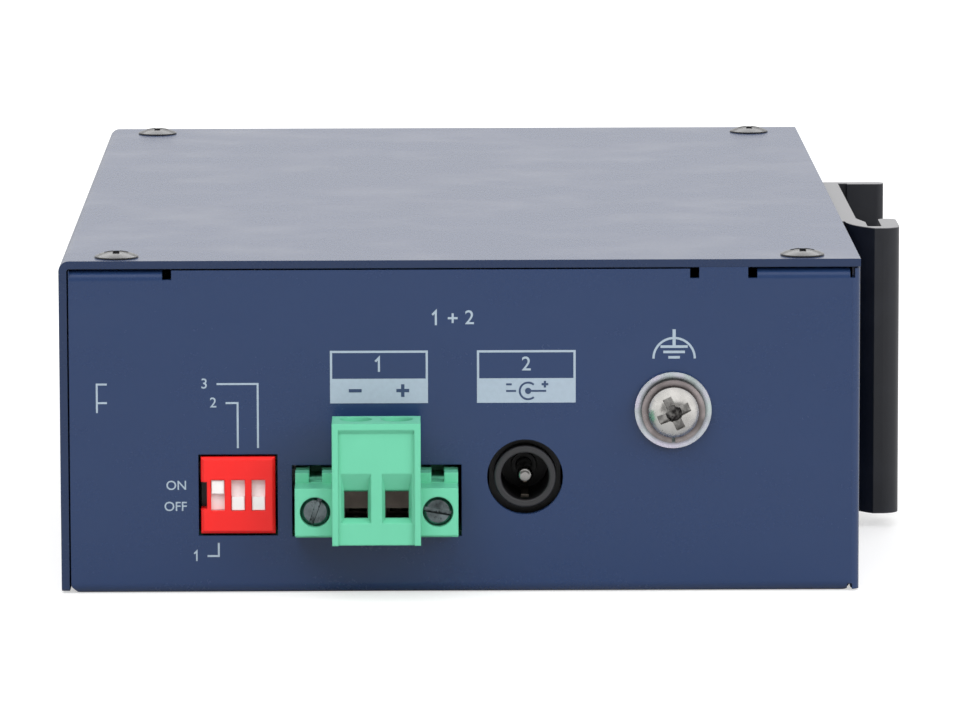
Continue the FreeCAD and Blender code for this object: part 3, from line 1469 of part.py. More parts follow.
def plug_housing():
    """Plug body, nose and flanges, hollowed for the clamps, the contacts and the screws."""
    plug = new_body("plug_blank")
    half = s.plug_width / 2
    x = s.terminal_x
    pad(plug, "XZ", [rectangle(x - half, x + half, plug_bottom, plug_top)], plug_face, header_face)
    pad(plug, "XZ", [rectangle(x - nose_half, x + nose_half, nose_bottom, nose_top)],
        header_face - BEYOND, header_face + s.plug_nose_depth)
    flange_half = s.header_width / 2
    pad(plug, "XZ", [rectangle(x - flange_half, x + flange_half, flange_bottom, flange_top)],
        flange_face, header_face)
    rim_top = plug_top - s.plug_rim
    recess = (
        (plug_face - BEYOND, plug_bottom - BEYOND),
        (entry_face, plug_bottom - BEYOND),
        (entry_face, rim_top - s.plug_rim_slope),
        (plug_face, rim_top),
        (plug_face - BEYOND, rim_top),
    )
    pocket(plug, "YZ", [recess], x - half + s.plug_rim, x + half - s.plug_rim)
    for pole in pole_places:
        cut_clamp_hollow(plug, pole)
    bore_radius = s.locking_screw_diameter / 2 + s.hole_gap
    bores = [Circle(place_x, flange_axis, bore_radius) for place_x in locking_places]
    pocket(plug, "XZ", bores, flange_face - BEYOND, header_face + BEYOND)
    sink_radius = s.locking_head_diameter / 2 + s.hole_gap
    sinks = [Circle(place_x, flange_axis, sink_radius) for place_x in locking_places]
    pocket(plug, "XZ", sinks, flange_face - BEYOND, flange_face + s.locking_head_sink)
    return cut("plug_housing", plug, *[entry_mouth(pole) for pole in pole_places])


def entry_mouth(pole):
    """Splayed mouth of a wire entry, with a long sloping roof and a short sloping sill."""
    half = s.funnel_width / 2
    wide = half + s.funnel_flare
    mouth = (-wide, wide, -s.funnel_drop, s.funnel_height + s.funnel_slope)
    throat = (-half, half, 0.0, s.funnel_height)
    return funnel("entry_mouth", pole, entry_face, entry_bottom, mouth, throat, chamber_front - entry_face)


def cut_clamp_hollow(plug, pole):
    """Entry, clamp chamber, screw shaft and contact channel of one pole."""
    entry_half = s.funnel_width / 2
    pocket(plug, "XZ", [rectangle(pole - entry_half, pole + entry_half, entry_bottom, entry_top)],
           plug_face - BEYOND, chamber_back)
    chamber_half = s.chamber_width / 2
    pocket(plug, "XZ", [rectangle(pole - chamber_half, pole + chamber_half, chamber_bottom, chamber_top)],
           chamber_front, chamber_back)
    screw_y = (cage_front + cage_back) / 2
    pocket(plug, "XY", [Circle(pole, screw_y, s.clamp_screw_diameter / 2 + s.thread_gap)],
           chamber_top - BEYOND, plug_top)
    pocket(plug, "XY", [Circle(pole, screw_y, s.clamp_shaft_diameter / 2)], head_seat, plug_top + BEYOND)
    channel_half = s.tongue_width / 2 + s.hole_gap
    channel = rectangle(
        pole - channel_half, pole + channel_half,
        pin_bottom - s.leaf_thickness - s.hole_gap, tongue_top + s.thread_gap,
    )
    pocket(plug, "XZ", [channel], chamber_back - BEYOND / 2, header_face + s.plug_nose_depth + BEYOND)


cage_front = chamber_front + s.lip_thickness + s.cage_gap
cage_back = chamber_back - s.cage_gap


def plug_contacts():
    """Fixed contact of each pole: a tongue through the cage, a sight lip and a fork for the pin."""
    contacts = []
    tail = header_face + s.plug_nose_depth - s.thread_gap
    half = s.tongue_width / 2
    for pole in pole_places:
        tongue = box("tongue", pole - half, pole + half, chamber_front, tail, tongue_bottom, tongue_top)
        lip_half = s.funnel_width / 2 + s.thread_gap
        lip = box("sight_lip", pole - lip_half, pole + lip_half, chamber_front,
                  chamber_front + s.lip_thickness, tongue_bottom, entry_top)
        fork_front = chamber_back + s.cage_gap
        web = box("fork_web", pole - half, pole - half + s.leaf_thickness, fork_front, tail,
                  pin_bottom - s.leaf_thickness, tongue_bottom)
        leaf = box("fork_leaf", pole - half, pole + half, fork_front, tail,
                   pin_bottom - s.leaf_thickness - s.thread_gap, pin_bottom - s.thread_gap)
        contacts.append(fuse("plug_contact", tongue, lip, web, leaf))
    return group("plug_contacts", contacts)


def clamp_cage(name, pole):
    """Square sleeve that the clamp screw lifts, closing the wire against the tongue."""
    half = s.chamber_width / 2 - s.cage_gap
    cage_top = cage_bottom + s.cage_height
    roof = cage_top - s.cage_roof
    ring = box("cage_ring", pole - half, pole + half, cage_front, cage_back, cage_bottom, cage_top)
    window = box(
        "cage_window", pole - half + s.cage_wall, pole + half - s.cage_wall,
        cage_front - BEYOND, cage_back + BEYOND, cage_bottom + s.cage_floor, roof,
    )
    bore = cylinder(
        "cage_bore", "Z", pole, (cage_front + cage_back) / 2, roof - BEYOND,
        s.clamp_screw_diameter / 2 + s.thread_gap, s.cage_roof + 2 * BEYOND,
    )
    return cut(name, ring, fuse("cage_hollow", window, bore))


def clamp_screw(name, pole):
    """Slotted screw that stands on the tongue and is held down by the web above the cage."""
    rise = head_seat + s.thread_gap
    shank = rise - tongue_top - s.thread_gap
    screw = headed_screw(
        name, s.clamp_screw_diameter / 2, shank, s.clamp_head_diameter / 2, s.clamp_head_height
    )
    slot_recess(screw, s.clamp_head_diameter / 2, s.clamp_head_height)
    place(screw, pole, (cage_front + cage_back) / 2, rise)
    return screw


def plug_locking_screws():
    """Slotted screws that hold the plug to the header's nuts."""
    seat = flange_face + s.locking_head_sink
    length = nut_front + s.locking_nut_thickness - seat
    pattern = headed_screw(
        "locking_screw", s.locking_screw_diameter / 2, length, s.locking_head_diameter / 2,
        s.locking_head_height,
    )
    slot_recess(pattern, s.locking_head_diameter / 2, s.locking_head_height)
    places = [(x, seat, flange_axis) for x in locking_places]
    turns = (s.locking_turn_left, s.locking_turn_right)
    return copies("plug_locking_screws", pattern, "-Y", places, turns)


# ---------------------------------------------------------------------------------------------
# DC jack
# ---------------------------------------------------------------------------------------------
jack_front = panel_inside + s.jack_block_gap
barrel_face = panel_face + s.jack_barrel_setback
bore_end = barrel_face + s.jack_bore_depth


def dc_jack_body():
    """Moulded jack: a barrel in the panel's hole, a blind bore and a boss round the centre pin."""
    half = s.jack_width / 2
    block = box(
        "jack_block", s.jack_x - half, s.jack_x + half, jack_front, jack_front + s.jack_depth,
        board_top, board_top + s.jack_height,
    )
    bore_radius = s.jack_bore_diameter / 2
    bore = cylinder("jack_bore", "Y", s.jack_x, barrel_face, jack_axis, bore_radius, s.jack_bore_depth)
    barrel = new_body("jack_barrel")
    barrel_radius = s.jack_barrel_diameter / 2
    barrel_foot = jack_front + BEYOND
    length = barrel_foot - barrel_face
    revolve(barrel, (
        (bore_radius, 0.0),
        (barrel_radius, 0.0),
        (barrel_radius, length, s.jack_mouth_round),
        (bore_radius, length, s.jack_mouth_round),
    ))
    barrel.Placement = FreeCAD.Placement(FreeCAD.Vector(), TURNS["-Y"])
    place(barrel, s.jack_x, barrel_foot, jack_axis)
    boss = tube(
        "jack_boss", "-Y", s.jack_x, bore_end, jack_axis, s.jack_foot_diameter / 2,
        s.jack_pin_diameter / 2 + s.thread_gap, s.jack_foot_height,
    )
    return fuse("dc_jack_body", cut("jack_hollowed", block, bore), barrel, boss)


def dc_jack_pin():
    """Centre pin, standing on the bottom of the bore and rounded at its tip."""
    pin = new_body("dc_jack_pin")
    radius = s.jack_pin_diameter / 2
    length = s.jack_bore_depth - s.jack_pin_setback
    revolve(pin, (
        (0.0, 0.0),
        (radius, 0.0),
        (radius, length, s.jack_pin_round),
        (0.0, length),
    ))
    pin.Placement = FreeCAD.Placement(FreeCAD.Vector(), TURNS["-Y"])
    place(pin, s.jack_x, bore_end, jack_axis)
    return pin


def dc_jack_spring():
    """Leaf along the bottom of the bore that presses on the plug's sleeve."""
    low = jack_axis - s.jack_spring_root
    path = (
        (bore_end - s.thread_gap, low),
        (barrel_face + s.jack_spring_crest, low + s.jack_spring_rise),
        (barrel_face + s.jack_pin_setback, low),
    )
    half = s.jack_spring_width / 2
    return strip("dc_jack_spring", "YZ", path, s.jack_spring_thickness, s.jack_spring_thickness,
                 s.jack_x - half, s.jack_x + half)


# ---------------------------------------------------------------------------------------------
# Ground screw with its washers and nut
# ---------------------------------------------------------------------------------------------
ground_bore = s.ground_thread_diameter / 2 + s.hole_gap


def ground_flat_washer():
    return tube(
        "ground_flat_washer", "-Y", s.ground_x, panel_face, s.ground_z, s.ground_washer_diameter / 2,
        ground_bore, s.ground_washer_thickness,
    )


def ground_split_washer():
    """Spring washer on the flat one, its split facing down."""
    seat = panel_face - s.ground_washer_thickness
    radius = s.ground_spring_diameter / 2
    ring = tube(
        "split_ring", "-Y", s.ground_x, seat, s.ground_z, radius, ground_bore, s.ground_spring_thickness
    )
    split = box(
        "washer_split", s.ground_x - s.seam_gap, s.ground_x + s.seam_gap,
        seat - s.ground_spring_thickness - BEYOND, seat + BEYOND, s.ground_z - radius - BEYOND, s.ground_z,
    )
    return cut("ground_split_washer", ring, split)


def ground_screw():
    """Screw with a domed pan head, its cross recess deeper where the arms meet."""
    top = s.ground_head_height
    screw = domed_screw(
        "ground_screw", s.ground_thread_diameter / 2, s.ground_length, s.ground_head_diameter / 2,
        s.ground_head_rim, top,
    )
    cross_recess(screw, top, s.ground_recess_width, s.ground_recess_reach, s.ground_recess_depth)
    pit = Circle(0.0, 0.0, s.ground_pit_diameter / 2)
    pocket(screw, "XY", [pit], top - s.ground_pit_depth, top + BEYOND)
    seat = panel_face - s.ground_washer_thickness - s.ground_spring_thickness
    screw.Placement = FreeCAD.Placement(FreeCAD.Vector(), spin("-Y", s.ground_turn))
    place(screw, s.ground_x, seat, s.ground_z)
    return screw


def ground_nut():
    return tube(
        "ground_nut", "Y", s.ground_x, panel_inside, s.ground_z, s.ground_nut_diameter / 2,
        s.ground_thread_diameter / 2 + s.thread_gap, s.ground_nut_height,
    )


# ---------------------------------------------------------------------------------------------
# Rail clip on the rail wall
# ---------------------------------------------------------------------------------------------
plate_out = side + s.clip_plate
rail_seat = side + s.clip_plate + s.catch_gauge
lip_inside = rail_seat + s.clip_slot
lip_outside = lip_inside + s.clip_lip
hook_floor = -s.clip_floor
hook_front = hook_floor - s.clip_arm
lip_tip = hook_floor + s.clip_slot_depth
rail_near_edge = lip_tip - s.catch_engagement
rail_far_edge = rail_near_edge + s.rail_width
clip_bottom = s.clip_end_gap
clip_top = s.case_height - s.clip_end_gap


def rail_clip():
    """Extruded clip: plate, deep near hook with a bowed arm, and a far upstand."""
    clip = new_body("clip_blank")
    seat_end = hook_floor + s.clip_seat_length
    far_face = s.clip_far_wall
    section = (
        (side, -s.clip_root),
        (side + s.clip_bow_start, -s.clip_root, (s.clip_bow_radius, 1)),
        (rail_seat + s.clip_bow_end, hook_front),
        (lip_outside, hook_front, s.clip_nose_radius),
        (lip_outside, lip_tip, s.clip_tip_radius),
        (lip_inside, lip_tip, s.clip_tip_radius),
        (lip_inside, hook_floor, s.fold_radius),
        (rail_seat, hook_floor, s.fold_radius),
        (rail_seat, seat_end),
        (plate_out, seat_end + s.clip_ramp),
        (plate_out, far_face + s.clip_far_groove),
        (plate_out + s.clip_far_slot, far_face + s.clip_far_groove),
        (plate_out + s.clip_far_slot, far_face),
        (side + s.clip_far_height, far_face, s.clip_far_round),
        (side + s.clip_far_height, far_face + s.clip_far_thickness, s.clip_far_round),
        (side, far_face + s.clip_far_thickness),
    )
    pad(clip, "XY", [section], clip_bottom, clip_top)
    sinks = [countersink(z) for z in clip_screw_places]
    return cut("rail_clip", clip, *sinks)


def countersink(z):
    """Screw hole through the plate, widening to the flat head above the spring strip."""
    depth = s.sunk_head_depth
    hole = cylinder("clip_hole", "X", side - BEYOND, s.clip_screw_y, z, clear_radius,
                    rail_seat - side + 2 * BEYOND)
    cone = doc.addObject("Part::Cone", "clip_sink")
    bind(cone, "Radius1", thread_radius + s.thread_gap)
    bind(cone, "Radius2", s.sunk_head_diameter / 2 + s.thread_gap)
    bind(cone, "Height", depth)
    cone.Placement = FreeCAD.Placement(FreeCAD.Vector(), TURNS["X"])
    place(cone, rail_seat - depth, s.clip_screw_y, z)
    return fuse("clip_sunk_hole", hole, cone)


def rail_catch():
    """Spring strip under the rail, bent up and over the rail's far edge and flared out again."""
    half = s.catch_gauge / 2
    flat = plate_out + half
    leg = rail_far_edge + s.rail_gap + half
    root = rail_seat + s.rail_flange + s.rail_gap + half
    nose = root + s.catch_nose_rise
    path = (
        (flat, s.clip_screw_y - s.catch_tail),
        (flat, leg),
        (root, leg),
        (nose, leg - s.catch_overlap - s.rail_gap),
        (nose + s.catch_flare, leg + s.catch_overlap / 2),
    )
    low = clip_middle - s.catch_width / 2
    blank = strip("catch_blank", "XY", path, s.catch_gauge, s.catch_bend, low, low + s.catch_width)
    sinks = [countersink(z) for z in clip_screw_places]
    return cut("rail_catch", blank, *sinks)


def clip_screws():
    """Flat-head screws through the strip and the plate into the rail wall's nuts."""
    pattern = new_body("clip_screw")
    revolve(pattern, (
        (0.0, -s.clip_screw_length),
        (thread_radius, -s.clip_screw_length),
        (thread_radius, -s.sunk_head_depth),
        (s.sunk_head_diameter / 2, 0.0),
        (0.0, 0.0),
    ))
    cross_recess(pattern, 0.0)
    return copies("clip_screws", pattern, "X", [(rail_seat, s.clip_screw_y, z) for z in clip_screw_places])


def clip_nuts():
    """Clinch nuts on the inside of the rail wall."""
    nuts = [
        tube(
            "clip_nut", "-X", rail_wall_inside, s.clip_screw_y, z, s.clinch_nut_diameter / 2, tapped_radius,
            s.clinch_nut_height,
        )
        for z in clip_screw_places
    ]
    return group("clip_nuts", nuts)


# ---------------------------------------------------------------------------------------------
# The whole switch
# ---------------------------------------------------------------------------------------------
slider_on = dip_centre + s.dip_travel / 2
slider_off = dip_centre - s.dip_travel / 2
parts = [
    folded_tray(),
    folded_cover(),
    cover_screws(),
    board_standoffs(),
    circuit_board(),
    board_screws(),
    switch_chip(),
    heatsink(),
    port_transformers(),
    power_inductors(),
    power_capacitors(),
    jack_shield("port_bank_shield", s.bank_y, bank_width),
    jack_housing("port_bank_housing", s.bank_y, bank_width, bank_places),
    jack_contacts("port_bank_contacts", bank_places),
    jack_shield("uplink_shield", s.uplink_y, uplink_width),
    jack_housing("uplink_housing", s.uplink_y, uplink_width, [s.uplink_y]),
    jack_contacts("uplink_contacts", [s.uplink_y]),
    fibre_cage(),
    fibre_connector(),
    light_pipes(),
    status_lamps(),
    reset_switch(),
    reset_button(),
    dip_cover(),
    dip_base(),
    dip_legs(),
    dip_slider(1, dip_places[0], slider_on),
    dip_slider(2, dip_places[1], slider_off),
    dip_slider(3, dip_places[2], slider_off),
    terminal_header(),
    header_pins(),
    header_nuts(),
    plug_housing(),
    plug_contacts(),
    clamp_cage("clamp_cage_left", pole_places[0]),
    clamp_cage("clamp_cage_right", pole_places[1]),
    clamp_screw("clamp_screw_left", pole_places[0]),
    clamp_screw("clamp_screw_right", pole_places[1]),
    plug_locking_screws(),
    dc_jack_body(),
    dc_jack_pin(),
    dc_jack_spring(),
    ground_flat_washer(),
    ground_split_washer(),
    ground_screw(),
    ground_nut(),
    rail_clip(),
    rail_catch(),
    clip_screws(),
    clip_nuts(),
]
doc.recompute()
for item in doc.Objects:
    if {"Invalid", "Error"} & set(item.State):
        raise RuntimeError(f"{item.Name} did not build: {item.State}")
os.makedirs("parts", exist_ok=True)
for part in parts:
    if part.Shape.isNull() or not part.Shape.isValid() or not part.Shape.Solids:
        raise RuntimeError(f"{part.Label} has no sound solid")
    part.Shape.exportStep(f"parts/{part.Label}.step")
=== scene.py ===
"""Dresses the rail-mounted network switch with its finishes and printed marks, and lights it."""

import logging
import math
from abc import ABC, abstractmethod
from dataclasses import dataclass, field, replace
from enum import Enum
from typing import Any, Sequence, Union

import bpy
import numpy as np
from mathutils import Matrix, Vector


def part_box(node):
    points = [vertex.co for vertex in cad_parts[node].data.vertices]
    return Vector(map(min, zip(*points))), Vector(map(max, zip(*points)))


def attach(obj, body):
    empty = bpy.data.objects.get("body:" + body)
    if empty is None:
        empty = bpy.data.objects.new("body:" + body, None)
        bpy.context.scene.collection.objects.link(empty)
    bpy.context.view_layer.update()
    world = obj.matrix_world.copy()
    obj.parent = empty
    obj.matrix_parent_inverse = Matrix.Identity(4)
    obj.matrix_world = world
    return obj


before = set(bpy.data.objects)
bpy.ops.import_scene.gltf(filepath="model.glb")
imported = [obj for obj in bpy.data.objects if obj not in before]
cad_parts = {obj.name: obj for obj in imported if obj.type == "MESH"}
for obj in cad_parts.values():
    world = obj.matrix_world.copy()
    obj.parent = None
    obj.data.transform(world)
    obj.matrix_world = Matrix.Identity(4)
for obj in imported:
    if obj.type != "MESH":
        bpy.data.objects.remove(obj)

log = logging.getLogger("switch")
MM = 0.001
Point = Sequence[float]
Number = Union[float, "Value"]
Colour = tuple[float, float, float]
Trio = tuple[float, float, float]
Pair = tuple[float, float]
Outline = Sequence[Pair]
Piece = bpy.types.Object
Socket = bpy.types.NodeSocket

# A Mix node's colour sockets, which share their names with its other sockets.
MIX_LOW, MIX_HIGH, MIX_RESULT = 6, 7, 2
BEVEL_SAMPLES = 4


class Axis(Enum):
    """The axes of the switch."""

    X = "X"
    Y = "Y"
    Z = "Z"


class Ray(Enum):
    """The kinds of ray that a material can tell apart."""

    CAMERA = "Is Camera Ray"
    GLOSSY = "Is Glossy Ray"
    TRANSMITTED = "Is Transmission Ray"


# Colours and places
def rgba(colour: Point) -> tuple[float, ...]:
    """A colour with full cover."""
    return (*colour, 1.0)


def scaled(colour: Point, gain: float) -> tuple[float, ...]:
    """A colour made lighter or darker, with full cover."""
    return rgba([min(channel * gain, 1.0) for channel in colour])


def grey(level: float) -> Colour:
    """A colour without a tint."""
    return (level, level, level)


def rectangle(left: float, right: float, low: float, high: float) -> list[Pair]:
    """The four corners, anticlockwise from the low left one."""
    return [(left, low), (right, low), (right, high), (left, high)]


def middle(box: Sequence[Point], axis: int) -> float:
    """The middle of a box along one axis, where the box is its low and its high corner."""
    low, high = box
    return (low[axis] + high[axis]) / 2


# Shader maths
class Value:
    """A shader number that ordinary arithmetic works on."""

    def __init__(self, graph: "Graph", socket: Socket) -> None:
        """Keep the socket and the graph that it belongs to."""
        self.graph = graph
        self.socket = socket

    def __add__(self, other: Number) -> "Value":
        """Sum."""
        return self.graph.maths("ADD", self, other)

    def __sub__(self, other: Number) -> "Value":
        """Difference."""
        return self.graph.maths("SUBTRACT", self, other)

    def __rsub__(self, other: Number) -> "Value":
        """Difference the other way round."""
        return self.graph.maths("SUBTRACT", other, self)

    def __mul__(self, other: Number) -> "Value":
        """Product."""
        return self.graph.maths("MULTIPLY", self, other)

    __radd__ = __add__
    __rmul__ = __mul__

    def whole(self) -> "Value":
        """The largest whole number that isn't over it."""
        return self.graph.maths("FLOOR", self, 0.0)

    def above(self, level: float) -> "Value":
        """1 where the value is over a level, else 0."""
        return self.graph.maths("GREATER_THAN", self, level)

    def larger(self, other: Number) -> "Value":
        """The larger of two numbers."""
        return self.graph.maths("MAXIMUM", self, other)

    def between(self, low: float, high: float) -> "Value":
        """Stretch the value to run from 0 to 1.

        Args:
            low: where the result is 0.
            high: where the result is 1. It may be under low.

        Returns:
            A straight run between the two, held at 0 and 1 outside them.
        """
        node = self.graph.node("ShaderNodeMapRange", {"clamp": True}, {
            "Value": self, "From Min": low, "From Max": high,
        })
        return Value(self.graph, node.outputs["Result"])


class Graph:
    """The node tree of one material or of the surroundings."""

    def __init__(self, tree: bpy.types.NodeTree) -> None:
        """Keep the tree and find its surface shader, if it has one."""
        self.tree = tree
        self.surface = tree.nodes.get("Principled BSDF")

    def node(self, kind: str, settings: dict[str, Any], inputs: dict[Any, Any]) -> bpy.types.Node:
        """Add a node.

        Args:
            kind: the node's type.
            settings: properties that are set before the sockets.
            inputs: a value, a Value or a socket for each input, by name or number.

        Returns:
            The new node.
        """
        made = self.tree.nodes.new(kind)
        for key, value in settings.items():
            setattr(made, key, value)
        for key, value in inputs.items():
            self.feed(made.inputs[key], value)
        return made

    def feed(self, socket: Socket, value: Any) -> None:
        """Fill in one socket.

        Args:
            socket: an input of a node.
            value: a Value or a socket to link, or a plain value to set.
        """
        if isinstance(value, Value):
            value = value.socket
        if isinstance(value, bpy.types.NodeSocket):
            self.tree.links.new(value, socket)
        else:
            socket.default_value = value

    def coat(self, **inputs: Any) -> None:
        """Feed the surface shader's sockets, their names written with underscores."""
        for key, value in inputs.items():
            self.feed(self.surface.inputs[key.replace("_", " ")], value)

    def maths(self, operation: str, first: Number, second: Number) -> Value:
        """One step of arithmetic on two numbers."""
        node = self.node("ShaderNodeMath", {"operation": operation}, {0: first, 1: second})
        return Value(self, node.outputs[0])

    def place(self, stretch: Point = (1.0, 1.0, 1.0), move: Point = (0.0, 0.0, 0.0)) -> Socket:
        """Read Object coordinates.

        Args:
            stretch: the gain on each axis.
            move: what is added after that, in metres.

        Returns:
            The coordinates in metres.
        """
        source = self.node("ShaderNodeTexCoord", {}, {}).outputs["Object"]
        mapping = self.node("ShaderNodeMapping", {}, {"Vector": source, "Scale": stretch, "Location": move})
        return mapping.outputs["Vector"]

    def along(self, axis: Axis) -> Value:
        """The Object coordinate along one axis, in metres."""
        split = self.node("ShaderNodeSeparateXYZ", {}, {"Vector": self.place()})
        return Value(self, split.outputs[axis.value])

    def off_axis(self, x: float, z: float) -> Value:
        """Measure how far a point is from a line along Y.

        Args:
            x: the line's place across.
            z: the line's height.

        Returns:
            The distance in metres.
        """
        flat = self.place((1.0, 0.0, 1.0), (-x, 0.0, -z))
        node = self.node("ShaderNodeVectorMath", {"operation": "LENGTH"}, {0: flat})
        return Value(self, node.outputs["Value"])

    def noise(self, size: float, detail: float = 2.0, stretch: Point = (1.0, 1.0, 1.0)) -> Value:
        """Soft noise from 0 to 1.

        Args:
            size: about how wide a blot is, in metres.
            detail: how many finer layers are laid over the blots.
            stretch: the gain on each axis. Under 1 draws the blots out.

        Returns:
            The noise.
        """
        node = self.node("ShaderNodeTexNoise", {}, {
            "Vector": self.place(stretch), "Scale": 1.0 / size, "Detail": detail,
        })
        return Value(self, node.outputs[0])

    def cells(self, size: float) -> Value:
        """Distance to the nearest of scattered points about the given size apart."""
        node = self.node("ShaderNodeTexVoronoi", {}, {"Vector": self.place(), "Scale": 1.0 / size})
        return Value(self, node.outputs["Distance"])

    def mix(self, low: Any, high: Any, share: Value) -> Socket:
        """Colour that runs from low to high as the share goes from 0 to 1."""
        inputs = {"Factor": share, MIX_LOW: low, MIX_HIGH: high}
        return self.node("ShaderNodeMix", {"data_type": "RGBA"}, inputs).outputs[MIX_RESULT]

    def shades(self, colour: Point, gains: Pair, share: Value) -> Socket:
        """One colour that runs from its first gain to its second as the share goes from 0 to 1."""
        first, last = gains
        return self.mix(scaled(colour, first), scaled(colour, last), share)

    def ray(self, kind: Ray) -> Value:
        """1 for rays of a kind, else 0."""
        path = self.node("ShaderNodeLightPath", {}, {})
        return Value(self, path.outputs[kind.value])

    def relief(self, height: Value, depth: float, rounding: float) -> None:
        """Raise the surface by a height, over edges that look rounded.

        Args:
            height: the relief, about 0 to 1.
            depth: the height of 1 in metres.
            rounding: the radius that sharp edges seem to have, in metres.
        """
        edge = self.node("ShaderNodeBevel", {"samples": BEVEL_SAMPLES}, {"Radius": rounding})
        bump = self.node("ShaderNodeBump", {}, {
            "Height": height, "Distance": depth, "Normal": edge.outputs["Normal"],
        })
        self.coat(Normal=bump.outputs["Normal"])


def new_material(name: str) -> tuple[bpy.types.Material, Graph]:
    """Start a material.

    Args:
        name: of the material.

    Returns:
        The material and the graph of its nodes.
    """
    material = bpy.data.materials.new(name)
    material.use_nodes = True
    return material, Graph(material.node_tree)


# Finishes
@dataclass(frozen=True)
class Finish(ABC):
    """What every finish has: its name, colour, gloss and the rounding of its edges.

    Sizes, depths and places are in metres. A field that ends in gloss is how far a pattern
    moves the roughness, and one that ends in levels is where a noise starts and is full.
    """

    name: str
    colour: Colour
    roughness: float = 0.4
    rounding: float = 0.00012

    def material(self) -> bpy.types.Material:
        """Build the material.

        Returns:
            A new material of the finish's name.
        """
        material, graph = new_material(self.name)
        self.dress(graph)
        return material

    @abstractmethod
    def dress(self, graph: Graph) -> None:
        """Fill in the material's nodes.

        Args:
            graph: the nodes of a new material.
        """


@dataclass(frozen=True)
class PowderCoat(Finish):
    """Satin powder coat with a fine orange peel and faint handling marks.

    A sheet's cut edge, where edge_at is given, is darker: painted shade.
    """

    rounding: float = 0.00018
    grain: float = 0.0006
    depth: float = 0.000012
    peel_gloss: float = 0.06
    cloud_size: float = 0.03
    cloud_share: float = 0.7
    gains: Pair = (0.92, 1.08)
    rub_size: float = 0.012
    rub_stretch: Trio = (1.0, 1.0, 2.2)
    rub_levels: Pair = (0.45, 0.75)
    rub_gloss: float = 0.05
    edge_at: float = -1.0
    edge_skin: float = 0.0001
    edge_shade_gain: float = 0.7

    def dress(self, graph: Graph) -> None:
        """Peel in the relief, slow clouds in the colour, rubbed patches in the gloss.

        Args:
            graph: the nodes of a new material.
        """
        peel = graph.noise(self.grain, detail=3.0)
        clouds = graph.noise(self.cloud_size, detail=3.0)
        rubbed = graph.noise(self.rub_size, detail=4.0, stretch=self.rub_stretch).between(*self.rub_levels)
        blend = clouds * self.cloud_share + peel * (1.0 - self.cloud_share)
        coat = graph.shades(self.colour, self.gains, blend)
        # Painted shade: the sheet's front cut edge is darkened.
        edge = graph.along(Axis.Y).between(self.edge_at + self.edge_skin, self.edge_at)
        graph.coat(
            Base_Color=graph.mix(coat, scaled(self.colour, self.edge_shade_gain), edge),
            Roughness=peel * self.peel_gloss + self.roughness - rubbed * self.rub_gloss,
        )
        graph.relief(peel, self.depth, self.rounding)


@dataclass(frozen=True)
class Moulded(Finish):
    """Injection moulding: fine spark texture, slight flow marks and soft edges."""

    grain: float = 0.00022
    depth: float = 0.000006
    spark_gloss: float = 0.1
    cloud: float = 0.06
    flow_size: float = 0.004
    flow_stretch: Trio = (1.0, 1.0, 0.4)

    def tone(self, graph: Graph) -> Socket:
        """Flow clouds in the colour."""
        flow = graph.noise(self.flow_size, detail=3.0, stretch=self.flow_stretch)
        return graph.shades(self.colour, (1.0 - self.cloud, 1.0 + self.cloud), flow)

    def dress(self, graph: Graph) -> None:
        """Spark texture in the relief and gloss.

        Args:
            graph: the nodes of a new material.
        """
        spark = graph.noise(self.grain)
        gloss = spark * self.spark_gloss + (self.roughness - self.spark_gloss / 2)
        graph.coat(Base_Color=self.tone(graph), Roughness=gloss)
        graph.relief(spark, self.depth, self.rounding)


@dataclass(frozen=True)
class FacedMoulding(Moulded):
    """Moulding painted darker behind its front face: painted shade in what lies deeper."""

    face_colour: Colour = (0.1, 0.1, 0.1)
    face_at: float = 0.0
    face_depth: float = 0.0004

    def tone(self, graph: Graph) -> Socket:
        """The face's colour at the front, and behind it the moulding's colour, darker as painted shade."""
        behind = graph.along(Axis.Y).between(self.face_at, self.face_at + self.face_depth)
        # Painted shade: everything deeper than the face takes the darker colour.
        return graph.mix(rgba(self.face_colour), super().tone(graph), behind)


@dataclass(frozen=True)
class Metal(Finish):
    """Bare or plated metal with drawn lines along one axis and faint stains."""

    rounding: float = 0.00008
    lines: Trio = (1.0, 1.0, 1.0)
    grain: float = 0.0002
    depth: float = 0.000003
    line_gloss: float = 0.12
    stain: float = 0.25
    stain_size: float = 0.0016
    stain_levels: Pair = (0.35, 0.75)
    stain_gloss: float = 0.1

    def tone(self, graph: Graph, stains: Value) -> Socket:
        """Stains in the colour."""
        return graph.shades(self.colour, (1.0, 1.0 - self.stain), stains)

    def dress(self, graph: Graph) -> None:
        """Lines in the relief and gloss, stains in the colour and gloss.

        Args:
            graph: the nodes of a new material.
        """
        drawn = graph.noise(self.grain, stretch=self.lines)
        stains = graph.noise(self.stain_size, detail=4.0).between(*self.stain_levels)
        worn = drawn * self.line_gloss + stains * self.stain_gloss
        graph.coat(
            Metallic=1.0,
            Base_Color=self.tone(graph, stains),
            Roughness=worn + (self.roughness - self.stain_gloss),
        )
        graph.relief(drawn, self.depth, self.rounding)


